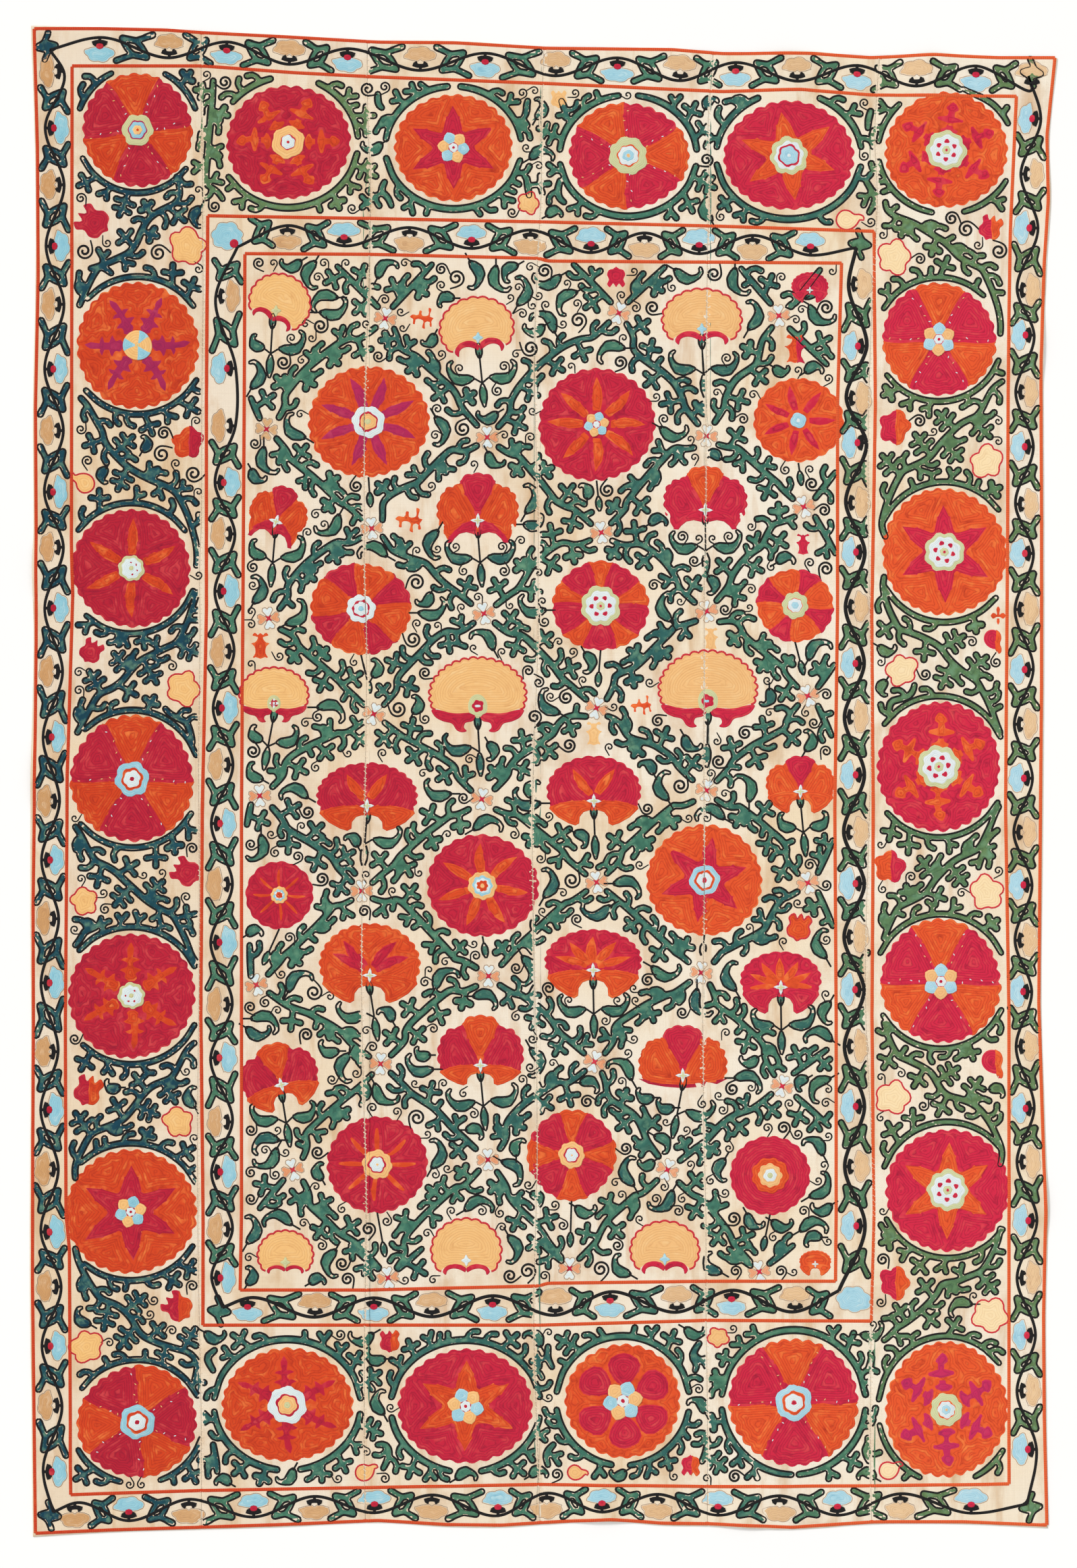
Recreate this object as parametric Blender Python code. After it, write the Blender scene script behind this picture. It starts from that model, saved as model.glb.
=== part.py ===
# Suzani hanging: six loom strips of hand-woven cotton, sewn side by side and laid out flat.
#
# Metres, +Z up. The cloth lies face up on the surface z = 0, with its length along Y and the
# end that is uppermost when it hangs at +Y. The origin is under the middle of its outline.
# The embroidery is silk stitching and part of the cloth's own thickness.

import math

import bmesh
import bpy

# Driving sizes of the whole cloth, corner to corner
TOP_WIDTH = 1.7043
BOTTOM_WIDTH = 1.6845
LEFT_LENGTH = 2.5077
TOP_DROP = 0.0538
BOTTOM_RISE = 0.0146
BOTTOM_SHIFT = 0.0034

# Cloth, hem and selvedge
CLOTH_THICKNESS = 0.0016
HEM_THICKNESS = 0.0024
HEM_EDGE_THICKNESS = 0.0014
HEM_WIDTH = 0.012
HEM_STEP = 0.007
SELVEDGE_THICKNESS = 0.0010
SELVEDGE_WIDTH = 0.005
SEAM_GAP = 0.0003

# Where the five seams lie, as shares of the width, and how far each one wanders
SEAMS = (
    # share, wander
    (0.166, 0.0012),
    (0.329, -0.0015),
    (0.498, 0.0020),
    (0.665, -0.0012),
    (0.828, 0.0016),
)
SEAM_WAVES = 3.0

# How the edges leave the straight line between their corners: distance along, metres upwards
TOP_EDGE = (
    (0.116, 0.0015), (0.224, 0.0026), (0.284, 0.0), (0.419, -0.0020), (0.576, -0.0060),
    (0.704, -0.0030), (0.856, -0.0075), (0.956, -0.0060), (1.064, -0.0034), (1.147, -0.0080),
    (1.298, -0.0020), (1.394, -0.0070), (1.499, 0.0020), (1.606, 0.0),
)
BOTTOM_EDGE = (
    (0.130, 0.0067), (0.278, 0.0100), (0.415, 0.0130), (0.572, 0.0186), (0.687, 0.0109),
    (0.777, 0.0090), (0.846, 0.0129), (0.959, 0.0175), (1.043, 0.0100), (1.132, 0.0078),
    (1.260, 0.0015), (1.397, 0.0092), (1.546, 0.0078),
)
# The same for the two sides: distance up from the bottom corner, metres towards +X
LEFT_EDGE = (
    (0.194, -0.0020), (0.419, -0.0045), (0.645, -0.0036), (0.848, -0.0022), (1.047, -0.0030),
    (1.264, -0.0017), (1.482, 0.0031), (1.612, 0.0011), (1.681, 0.0034), (1.874, 0.0025),
    (2.088, 0.0073), (2.303, 0.0065),
)
RIGHT_EDGE = (
    (0.187, -0.0034), (0.354, -0.0056), (0.522, -0.0034), (0.689, -0.0100), (0.869, -0.0168),
    (1.133, -0.0162), (1.398, -0.0157), (1.675, -0.0175), (1.940, -0.0200), (2.099, -0.0157),
    (2.204, -0.0096), (2.310, -0.0126),
)

# Soft ridges where the laid cloth stands off the surface
FOLDS = (
    # x, y, half length, half width, turn in degrees, rise
    (-0.68, -1.06, 0.23, 0.055, 38.0, 0.0040),
    (-0.61, -1.00, 0.19, 0.045, 52.0, 0.0028),
    (-0.35, -1.03, 0.20, 0.050, -24.0, 0.0030),
    (-0.09, -1.05, 0.22, 0.050, 62.0, 0.0034),
    (0.40, -1.06, 0.25, 0.060, 84.0, 0.0046),
    (0.66, -1.10, 0.20, 0.055, -40.0, 0.0030),
    (0.40, 1.19, 0.16, 0.070, 80.0, 0.0050),
    (0.64, 1.18, 0.15, 0.060, 98.0, 0.0052),
    (0.10, -1.22, 0.15, 0.060, 88.0, 0.0050),
    (0.33, -1.22, 0.13, 0.060, 94.0, 0.0038),
    (-0.84, 0.35, 0.15, 0.060, 8.0, 0.0044),
    (-0.85, 0.01, 0.16, 0.070, -6.0, 0.0048),
    (0.82, 0.72, 0.20, 0.065, 12.0, 0.0044),
    (0.83, -0.70, 0.18, 0.060, -10.0, 0.0042),
    (-0.62, 0.80, 0.26, 0.060, 70.0, 0.0026),
    (0.28, 0.30, 0.34, 0.060, 86.0, 0.0026),
    (-0.20, -0.10, 0.36, 0.060, 64.0, 0.0022),
)

# The grid of each strip, and the angle past which an edge is shaded sharp
LENGTHWAYS_STEPS = 36
OPEN_SHARES = (0.28, 0.5, 0.72)
OUTLINE_STEPS = 400
SHARP_ANGLE = math.radians(40)

COTTON_COLOUR = (0.86, 0.70, 0.50, 1.0)
COTTON_ROUGHNESS = 0.9


def between(low, high, share):
    """The value at a share of the way from low to high."""
    return low + (high - low) * share


def smooth_table(table, end, place):
    """The smooth curve through a table's rows and through nought at 0 and at end."""
    rows = ((0.0, 0.0),) + tuple(table) + ((end, 0.0),)
    for index in range(len(rows) - 1):
        if place <= rows[index + 1][0] or index == len(rows) - 2:
            break
    before, start = rows[max(index - 1, 0)], rows[index]
    stop, after = rows[index + 1], rows[min(index + 2, len(rows) - 1)]
    span = stop[0] - start[0]
    slope_in = (stop[1] - before[1]) / (stop[0] - before[0]) * span
    slope_out = (after[1] - start[1]) / (after[0] - start[0]) * span
    t = min(max((place - start[0]) / span, 0.0), 1.0)
    return (
        (2 * t**3 - 3 * t**2 + 1) * start[1]
        + (t**3 - 2 * t**2 + t) * slope_in
        + (3 * t**2 - 2 * t**3) * stop[1]
        + (t**3 - t**2) * slope_out
    )


def corners():
    """Bottom left, bottom right, top left and top right, with the bottom left at nought."""
    right_length = LEFT_LENGTH - TOP_DROP - BOTTOM_RISE
    return (
        (0.0, 0.0),
        (BOTTOM_WIDTH, BOTTOM_RISE),
        (-BOTTOM_SHIFT, LEFT_LENGTH),
        (TOP_WIDTH - BOTTOM_SHIFT, BOTTOM_RISE + right_length),
    )


def outline_point(across, up):
    """A point of the cloth from its shares of the width and length, inside the uneven edges."""
    low_left, low_right, top_left, top_right = corners()
    right_length = top_right[1] - low_right[1]
    x = between(between(low_left[0], low_right[0], across), between(top_left[0], top_right[0], across), up)
    y = between(between(low_left[1], low_right[1], across), between(top_left[1], top_right[1], across), up)
    x += (1 - across) * smooth_table(LEFT_EDGE, LEFT_LENGTH, up * LEFT_LENGTH)
    x += across * smooth_table(RIGHT_EDGE, right_length, up * right_length)
    y += (1 - up) * smooth_table(BOTTOM_EDGE, BOTTOM_WIDTH, across * BOTTOM_WIDTH)
    y += up * smooth_table(TOP_EDGE, TOP_WIDTH, across * TOP_WIDTH)
    return x, y


def outline_middle():
    """The middle of the box round the outline, which is the origin."""
    shares = [step / OUTLINE_STEPS for step in range(OUTLINE_STEPS + 1)]
    rim = [outline_point(s, e) for s in shares for e in (0, 1)]
    rim += [outline_point(e, s) for s in shares for e in (0, 1)]
    xs, ys = zip(*rim)
    return (min(xs) + max(xs)) / 2, (min(ys) + max(ys)) / 2


def bump(distance, reach):
    """1 in the middle, falling smoothly to 0 at reach."""
    share = distance / reach
    return (1 - share * share) ** 2 if abs(share) < 1 else 0.0


def fold_height(x, y):
    """How far the cloth's underside stands off the surface."""
    height = 0.0
    for fold_x, fold_y, half_length, half_width, turn, rise in FOLDS:
        angle = math.radians(turn)
        dx, dy = x - fold_x, y - fold_y
        along = dx * math.cos(angle) + dy * math.sin(angle)
        off = dy * math.cos(angle) - dx * math.sin(angle)
        height = max(height, rise * bump(along, half_length) * bump(off, half_width))
    return height


def seam_share(index, up):
    """The share of the width at which seam index lies, at a share of the length."""
    share, wander = SEAMS[index]
    return share + wander * math.sin(math.tau * SEAM_WAVES * up + index)


def strip_columns(index):
    """The columns of one strip: where each lies, as distance from a side or as a share, and its thickness."""
    last = len(SEAMS)
    open_columns = [("share", share, CLOTH_THICKNESS) for share in OPEN_SHARES]
    hem = [
        (0.0, HEM_EDGE_THICKNESS),
        (HEM_WIDTH, HEM_THICKNESS),
        (HEM_WIDTH + HEM_STEP, CLOTH_THICKNESS),
    ]
    selvedge = [(0.0, SELVEDGE_THICKNESS), (SELVEDGE_WIDTH, CLOTH_THICKNESS)]
    left = [("left", place, thick) for place, thick in (hem if index == 0 else selvedge)]
    right = [("right", place, thick) for place, thick in (hem if index == last else selvedge)]
    return left + open_columns + right[::-1]


def column_share(kind, value, low, high):
    """A column's share of the whole width, between its strip's two sides."""
    if kind == "left":
        return low + value / TOP_WIDTH
    if kind == "right":
        return high - value / TOP_WIDTH
    return between(low, high, value)


def rows():
    """The rows of every strip: share of the length, and thickness at the hem or None."""
    hem = HEM_WIDTH / LEFT_LENGTH
    step = (HEM_WIDTH + HEM_STEP) / LEFT_LENGTH
    ends = [(0.0, HEM_EDGE_THICKNESS), (hem, HEM_THICKNESS)]
    inner = [
        (between(step, 1 - step, count / LENGTHWAYS_STEPS), None)
        for count in range(LENGTHWAYS_STEPS + 1)
    ]
    return ends + inner + [(1 - share, thick) for share, thick in reversed(ends)]


def strip_grid(index):
    """Plan positions and thickness of one strip's grid, row by row."""
    middle = outline_middle()
    half_gap = SEAM_GAP / 2 / TOP_WIDTH
    grid = []
    for up, row_thickness in rows():
        low = seam_share(index - 1, up) + half_gap if index > 0 else 0.0
        high = seam_share(index, up) - half_gap if index < len(SEAMS) else 1.0
        line = []
        for kind, value, thickness in strip_columns(index):
            x, y = outline_point(column_share(kind, value, low, high), up)
            if row_thickness is not None:
                edge = row_thickness == HEM_EDGE_THICKNESS or value == 0.0
                thickness = min(thickness, row_thickness) if edge else row_thickness
            line.append((x - middle[0], y - middle[1], thickness))
        grid.append(line)
    return grid


def cotton():
    """Undyed hand-woven cotton."""
    material = bpy.data.materials.new("cotton")
    material.use_nodes = True
    shader = material.node_tree.nodes["Principled BSDF"]
    shader.inputs["Base Color"].default_value = COTTON_COLOUR
    shader.inputs["Roughness"].default_value = COTTON_ROUGHNESS
    shader.inputs["Metallic"].default_value = 0.0
    return material


def strip(index, material):
    """One loom strip as a closed sheet that follows the folds."""
    grid = strip_grid(index)
    sheet = bmesh.new()
    under = [[sheet.verts.new((x, y, fold_height(x, y))) for x, y, _ in line] for line in grid]
    face = [
        [sheet.verts.new((x, y, fold_height(x, y) + thick)) for x, y, thick in line] for line in grid
    ]
    for row in range(len(grid) - 1):
        for column in range(len(grid[0]) - 1):
            square = [(row, column), (row, column + 1), (row + 1, column + 1), (row + 1, column)]
            sheet.faces.new([face[r][c] for r, c in square])
            sheet.faces.new([under[r][c] for r, c in reversed(square)])
    last_row, last_column = len(grid) - 1, len(grid[0]) - 1
    rim = [(0, c) for c in range(last_column)]
    rim += [(r, last_column) for r in range(last_row)]
    rim += [(last_row, c) for c in range(last_column, 0, -1)]
    rim += [(r, 0) for r in range(last_row, 0, -1)]
    for (r, c), (r_next, c_next) in zip(rim, rim[1:] + rim[:1]):
        sheet.faces.new([under[r][c], under[r_next][c_next], face[r_next][c_next], face[r][c]])
    bmesh.ops.triangulate(sheet, faces=sheet.faces)
    mesh = bpy.data.meshes.new(f"strip_{index + 1}")
    sheet.to_mesh(mesh)
    sheet.free()
    mesh.materials.append(material)
    mesh.shade_smooth()
    mesh.set_sharp_from_angle(angle=SHARP_ANGLE)
    piece = bpy.data.objects.new(f"strip_{index + 1}", mesh)
    bpy.context.scene.collection.objects.link(piece)
    return piece


for old in list(bpy.data.objects):
    bpy.data.objects.remove(old)

undyed_cotton = cotton()
strips = [strip(number, undyed_cotton) for number in range(len(SEAMS) + 1)]
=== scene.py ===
# %% [markdown]
# An embroidered suzani, laid flat and seen from straight above. The real one is six narrow strips of
# hand-woven cotton sewn side by side, with silk worked over most of the face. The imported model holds
# the six strips at their real size. This lesson dresses them: a finer cloth, then every motif as
# raised silk, placed in the picture's pixels and turned into metres by one scale.

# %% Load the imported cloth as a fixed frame
import math
import random

import bpy
import numpy as np
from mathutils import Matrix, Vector, geometry


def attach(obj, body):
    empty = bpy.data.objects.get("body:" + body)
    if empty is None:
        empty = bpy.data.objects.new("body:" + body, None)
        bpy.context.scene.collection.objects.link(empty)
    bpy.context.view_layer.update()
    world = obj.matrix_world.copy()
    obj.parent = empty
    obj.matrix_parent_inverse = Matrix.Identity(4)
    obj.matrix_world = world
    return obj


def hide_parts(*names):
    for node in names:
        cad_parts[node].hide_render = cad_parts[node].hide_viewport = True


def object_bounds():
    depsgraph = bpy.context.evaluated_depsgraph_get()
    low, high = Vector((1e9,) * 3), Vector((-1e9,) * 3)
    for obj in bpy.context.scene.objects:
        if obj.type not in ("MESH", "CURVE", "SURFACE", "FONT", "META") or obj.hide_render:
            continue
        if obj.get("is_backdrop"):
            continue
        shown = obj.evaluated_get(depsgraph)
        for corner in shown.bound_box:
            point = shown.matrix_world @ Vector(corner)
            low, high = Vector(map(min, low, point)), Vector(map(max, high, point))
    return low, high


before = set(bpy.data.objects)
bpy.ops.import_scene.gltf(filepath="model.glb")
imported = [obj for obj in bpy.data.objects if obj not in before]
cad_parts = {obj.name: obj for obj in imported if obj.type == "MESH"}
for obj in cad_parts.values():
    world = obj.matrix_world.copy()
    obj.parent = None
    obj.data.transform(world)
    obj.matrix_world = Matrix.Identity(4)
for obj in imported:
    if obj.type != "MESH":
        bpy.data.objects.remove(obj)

CAD_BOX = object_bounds()
print("CAD box, metres:", [round(side, 4) for side in CAD_BOX[1] - CAD_BOX[0]])

# %% [markdown]
# The embroiderer draws on the cloth before sewing. Here the drawing is done in the picture's pixels,
# x to the right and y down, because every motif can then be compared with the picture directly. One
# scale, found from the cloth's own width, turns pixels into metres.

# %% The scale between the picture and the cloth
PICTURE_WIDTH, PICTURE_HEIGHT = 1596, 2323
CLOTH_LEFT, CLOTH_RIGHT = 44.5, 1567.0
CLOTH_TOP, CLOTH_BOTTOM = 38.0, 2277.0
PIXEL = (CAD_BOX[1].x - CAD_BOX[0].x) / (CLOTH_RIGHT - CLOTH_LEFT)
CLOTH_CENTRE = np.array([(CLOTH_LEFT + CLOTH_RIGHT) / 2, (CLOTH_TOP + CLOTH_BOTTOM) / 2])
MILLIMETRE = 0.001


def to_plan(points):
    """Picture pixels to metres across and up the cloth."""
    return (np.asarray(points, float) - CLOTH_CENTRE) * (PIXEL, -PIXEL)


print("one pixel is", round(PIXEL / MILLIMETRE, 3), "mm")

# %% [markdown]
# The camera comes first. The cloth was seen from straight above, so the camera looks straight down
# through a long lens, which keeps the sides parallel. Its height is free, and the lens follows from
# the height and from how much floor the picture takes in.

# %% Camera above the middle of the picture
CAMERA_HEIGHT = 6.0
SENSOR = 36.0
camera_data = bpy.data.cameras.new("camera")
camera_data.sensor_width = SENSOR
camera_data.lens = SENSOR * CAMERA_HEIGHT / (PICTURE_HEIGHT * PIXEL)
camera = bpy.data.objects.new("camera", camera_data)
bpy.context.scene.collection.objects.link(camera)
camera_x, camera_y = to_plan((PICTURE_WIDTH / 2, PICTURE_HEIGHT / 2))
camera.location = (camera_x, camera_y, CAMERA_HEIGHT)
bpy.context.scene.camera = camera
print("lens", round(camera_data.lens, 1), "mm")

# %% [markdown]
# A material is a board of nodes. Writing one by hand takes many lines, so two small classes help:
# Shade wraps a socket and understands Python's signs, and Board adds any node in one call.

# %% Shader sums as Python expressions
SURFACE_GLOSS = 0.08


class Shade:
    """A value in a board of nodes. Each of Python's signs adds one Math node."""

    def __init__(self, board, socket):
        self.board, self.socket = board, socket

    def reckon(self, operation, *values):
        return self.board.add("ShaderNodeMath", {"operation": operation}, dict(enumerate(values)))

    def __add__(self, other):
        return self.reckon("ADD", self, other)

    def __radd__(self, other):
        return self.reckon("ADD", other, self)

    def __sub__(self, other):
        return self.reckon("SUBTRACT", self, other)

    def __rsub__(self, other):
        return self.reckon("SUBTRACT", other, self)

    def __mul__(self, other):
        return self.reckon("MULTIPLY", self, other)

    def __rmul__(self, other):
        return self.reckon("MULTIPLY", other, self)

    def __truediv__(self, other):
        return self.reckon("DIVIDE", self, other)

    def __pow__(self, other):
        return self.reckon("POWER", self, other)

    def size(self):
        return self.reckon("ABSOLUTE", self)

    def part(self):
        return self.reckon("FRACT", self)

    def whole(self):
        return self.reckon("FLOOR", self)

    def wave(self):
        return self.reckon("SINE", self)

    def held(self, low, high):
        """0 below low, 1 above high, and a straight climb between."""
        return self.board.add(
            "ShaderNodeMapRange", {"clamp": True}, {0: self, 1: low, 2: high, 3: 0.0, 4: 1.0}
        )


class Board:
    """One material's nodes."""

    def __init__(self, name, roughness, sheen=0.0):
        self.material = bpy.data.materials.new(name)
        self.material.use_nodes = True
        self.tree = self.material.node_tree
        self.shader = self.tree.nodes["Principled BSDF"]
        self.shader.inputs["Roughness"].default_value = roughness
        self.shader.inputs["Sheen Weight"].default_value = sheen
        self.shader.inputs["Specular IOR Level"].default_value = SURFACE_GLOSS
        self.place = self.add("ShaderNodeTexCoord", output="Object")
        self.x = self.add("ShaderNodeSeparateXYZ", None, {0: self.place}, "X")
        self.y = self.add("ShaderNodeSeparateXYZ", None, {0: self.place}, "Y")

    def add(self, kind, settings=None, sockets=None, output=0):
        """Adds a node of any kind: its settings first, then its sockets' values or links."""
        node = self.tree.nodes.new(kind)
        for name, value in (settings or {}).items():
            if name == "stops":
                self.set_stops(node.color_ramp, value)
            else:
                setattr(node, name, value)
        for name, value in (sockets or {}).items():
            self.join(value, node.inputs[name])
        return Shade(self, node.outputs[output])

    def set_stops(self, ramp, stops):
        while len(ramp.elements) < len(stops):
            ramp.elements.new(0.5)
        for element, (place, colour) in zip(ramp.elements, stops):
            element.position = place
            element.color = colour

    def join(self, value, socket):
        if isinstance(value, Shade):
            self.tree.links.new(value.socket, socket)
        else:
            socket.default_value = value

    def mix(self, share, first, second):
        """The second colour over the first by a share."""
        return self.add("ShaderNodeMix", {"data_type": "RGBA"}, {0: share, 6: first, 7: second}, 2)

    def vector(self, x, y, z):
        return self.add("ShaderNodeCombineXYZ", None, {0: x, 1: y, 2: z})

    def noise(self, place, scale, detail=2.0, roughness=0.5):
        sockets = {"Vector": place, "Scale": scale, "Detail": detail, "Roughness": roughness}
        return self.add("ShaderNodeTexNoise", None, sockets, "Fac")

    def own(self, name):
        """A number that the mesh carries on its points."""
        return self.add("ShaderNodeAttribute", {"attribute_name": name}, None, "Fac")

    def finish(self, colour, height, rise, strength=1.0):
        """Colour and bump into the shader."""
        bump = {"Height": height, "Distance": rise, "Strength": strength}
        self.join(colour, self.shader.inputs["Base Color"])
        self.join(self.add("ShaderNodeBump", None, bump, "Normal"), self.shader.inputs["Normal"])
        return self.material


def dye(red, green, blue):
    """A colour as a screen shows it, 0 to 255, made linear."""
    shares = [value / 255 for value in (red, green, blue)]
    linear = [s / 12.92 if s <= 0.04045 else ((s + 0.055) / 1.055) ** 2.4 for s in shares]
    return (*linear, 1.0)


# %% [markdown]
# The cotton is undyed and hand-spun: cream, with thick and thin threads, warmer stains where the
# cloth has aged and paler places where it was washed. The weave is far finer than a picture pixel, so
# it is two crossed waves in the bump, broken up by noise stretched along each thread.

# %% Hand-woven cotton
THREAD_PITCH = 0.9 * MILLIMETRE


def cotton(name, pale, warm, stain):
    board = Board(name, roughness=0.92, sheen=0.1)
    warp = board.noise(board.vector(board.x * 900.0, board.y * 14.0, 0.0), 1.0, 2.0)
    weft = board.noise(board.vector(board.x * 14.0, board.y * 900.0, 5.0), 1.0, 2.0)
    across = (board.x * (math.tau / THREAD_PITCH)).wave()
    along = (board.y * (math.tau / THREAD_PITCH)).wave()
    aged = board.noise(board.place, 3.4, 4.0, 0.6).held(0.42, 0.68)
    spots = board.noise(board.vector(board.x, board.y * 0.7, 3.0), 11.0, 5.0, 0.62)
    smears = board.noise(board.vector(board.x * 30.0, board.y * 5.0, 7.0), 1.0, 4.0, 0.6)
    colour = board.mix(aged, pale, warm)
    colour = board.mix((1.0 - board.x.held(-0.95, 0.4)) * 0.26, colour, stain)
    colour = board.mix(spots.held(0.5, 0.74) * 0.75, colour, stain)
    colour = board.mix(smears.held(0.52, 0.74) * 0.75, colour, stain)
    colour = board.mix((warp + weft).held(0.8, 1.35) * 0.12, colour, dye(176, 138, 98))
    colour = board.mix((across * along).held(-1.0, 1.0) * 0.05, colour, dye(150, 118, 84))
    height = across * along * 0.35 + warp + weft
    return board.finish(colour, height, 0.0006, 0.55)


plain_cotton = cotton("hand_woven_cotton", dye(255, 245, 227), dye(251, 231, 198), dye(216, 174, 126))
print("cotton material ready")

# %% [markdown]
# Silk is couched or chain-stitched in rows that follow the edge of each shape. Every patch of silk
# made below carries two numbers on its points: row, the distance in metres from the edge of its
# shape, and tint, one number for the whole patch. The material draws the rows from the first, darkens
# the grooves between them with painted shade and runs streaks of painted sheen and shade along them,
# and gives each patch its own dye lot from the second. The cloth was worked by several hands, and its
# left side is deeper than its right, so each silk is a blend of two dyes by place.

# %% Silk in rows


def silk(name, left_dye, right_dye, painted_shade_dye, light_dye, pitch, groove_shade, sheen_streak):
    board = Board(name, roughness=0.62, sheen=0.25)
    row, tint = board.own("row"), board.own("tint")
    drift = (board.x + tint * 0.25).held(-0.75, 0.8)
    turn = (row / pitch).part()
    edge = ((turn - 0.5).size() * 2.0) ** 3.0
    count = (row / pitch).whole()
    sheen_flow = board.vector(board.x * 42.0, board.y * 42.0, count * 7.3 + tint * 31.0)
    sheen_streaks = board.noise(sheen_flow, 1.0, 3.0, 0.6)
    fibre = board.noise(board.place, 1400.0, 2.0)
    worn = board.noise(board.place, 26.0, 4.0, 0.6)
    colour = board.mix(drift, left_dye, right_dye)
    # painted light: light and dark streaks of painted sheen and shade along each row, then painted shade in
    # the grooves between rows
    colour = board.mix(sheen_streaks.held(0.52, 0.78) * sheen_streak, colour, light_dye)
    colour = board.mix((1.0 - sheen_streaks).held(0.56, 0.8) * sheen_streak, colour, painted_shade_dye)
    colour = board.mix(edge * groove_shade * fibre.held(0.3, 0.6), colour, painted_shade_dye)
    colour = board.mix(worn.held(0.62, 0.86) * 0.3, colour, light_dye)
    return board.finish(colour, (1.0 - edge) * 0.8 + fibre * 0.5, 0.0005, 0.7)


WIDE_ROW, FINE_ROW = 3.9 * MILLIMETRE, 2.7 * MILLIMETRE
DYES = {
    # name: the record's slot, width of a row, painted groove shade, streaks of painted sheen and shade,
    # then the left and right dye, the painted shade, and the light colour of painted sheen and wear
    "orange": ("silk_orange", WIDE_ROW, 0.75, 0.75, (208, 64, 26), (232, 88, 42), (158, 34, 22),
               (248, 142, 70)),
    "crimson": ("silk_crimson", WIDE_ROW, 0.75, 0.75, (182, 28, 50), (212, 38, 70), (128, 14, 46),
                (228, 86, 84)),
    "apricot": ("silk_orange", FINE_ROW, 0.3, 0.5, (222, 146, 98), (236, 166, 126), (190, 104, 74),
                (244, 196, 156)),
    "straw": ("silk_yellow", WIDE_ROW, 0.5, 0.5, (242, 192, 122), (240, 188, 128), (208, 146, 88),
              (250, 216, 160)),
    "pale_straw": ("silk_yellow", WIDE_ROW, 0.4, 0.4, (244, 208, 150), (248, 222, 176), (222, 178, 124),
                   (252, 232, 196)),
    "tan": ("silk_yellow", FINE_ROW, 0.3, 0.6, (206, 156, 104), (232, 196, 152), (176, 128, 92),
            (236, 206, 170)),
    "blue": ("silk_blue", FINE_ROW, 0.3, 0.6, (146, 200, 214), (176, 216, 230), (104, 168, 196),
             (214, 232, 232)),
    "white": ("silk_blue", FINE_ROW, 0.3, 0.5, (220, 232, 232), (226, 234, 236), (176, 200, 210),
              (244, 242, 228)),
    "pale_green": ("silk_green", FINE_ROW, 0.35, 0.4, (204, 202, 150), (208, 212, 164), (160, 166, 118),
                   (228, 224, 178)),
    "plum": ("silk_crimson", WIDE_ROW, 0.5, 0.5, (162, 34, 82), (200, 42, 92), (124, 26, 76),
             (200, 72, 104)),
}
SILKS = {}
for name, (slot, pitch, groove_shade, sheen_streak, *dyes) in DYES.items():
    SILKS[name] = silk("silk_" + name, *(dye(*colour) for colour in dyes), pitch, groove_shade, sheen_streak), slot
print("silks:", ", ".join(SILKS))

# %% [markdown]
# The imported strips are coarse, because a solid needs no more. Here the same outline, the same seams
# and the same soft ridges are worked out again, so a finer cloth lies exactly on them, and anything
# sewn on the cloth can ask how high its face is at any point.

# %% Outline, seams and ridges of the cloth
TOP_WIDTH, BOTTOM_WIDTH, LEFT_LENGTH = 1.7043, 1.6845, 2.5077
TOP_DROP, BOTTOM_RISE, BOTTOM_SHIFT = 0.0538, 0.0146, 0.0034
CLOTH_THICKNESS, HEM_THICKNESS, HEM_EDGE_THICKNESS = 0.0016, 0.0024, 0.0014
HEM_WIDTH, HEM_STEP = 0.012, 0.007
SELVEDGE_THICKNESS, SELVEDGE_WIDTH, SEAM_GAP = 0.0010, 0.005, 0.0003
SEAM_WAVES = 3.0
SEAMS = (
    # share of the width, wander
    (0.166, 0.0012), (0.329, -0.0015), (0.498, 0.0020), (0.665, -0.0012), (0.828, 0.0016),
)
TOP_EDGE = (
    # distance along, metres off the straight line
    (0.116, 0.0015), (0.224, 0.0026), (0.284, 0.0), (0.419, -0.0020), (0.576, -0.0060),
    (0.704, -0.0030), (0.856, -0.0075), (0.956, -0.0060), (1.064, -0.0034), (1.147, -0.0080),
    (1.298, -0.0020), (1.394, -0.0070), (1.499, 0.0020), (1.606, 0.0),
)
BOTTOM_EDGE = (
    (0.130, 0.0067), (0.278, 0.0100), (0.415, 0.0130), (0.572, 0.0186), (0.687, 0.0109),
    (0.777, 0.0090), (0.846, 0.0129), (0.959, 0.0175), (1.043, 0.0100), (1.132, 0.0078),
    (1.260, 0.0015), (1.397, 0.0092), (1.546, 0.0078),
)
LEFT_EDGE = (
    (0.194, -0.0020), (0.419, -0.0045), (0.645, -0.0036), (0.848, -0.0022), (1.047, -0.0030),
    (1.264, -0.0017), (1.482, 0.0031), (1.612, 0.0011), (1.681, 0.0034), (1.874, 0.0025),
    (2.088, 0.0073), (2.303, 0.0065),
)
RIGHT_EDGE = (
    (0.187, -0.0034), (0.354, -0.0056), (0.522, -0.0034), (0.689, -0.0100), (0.869, -0.0168),
    (1.133, -0.0162), (1.398, -0.0157), (1.675, -0.0175), (1.940, -0.0200), (2.099, -0.0157),
    (2.204, -0.0096), (2.310, -0.0126),
)
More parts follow.
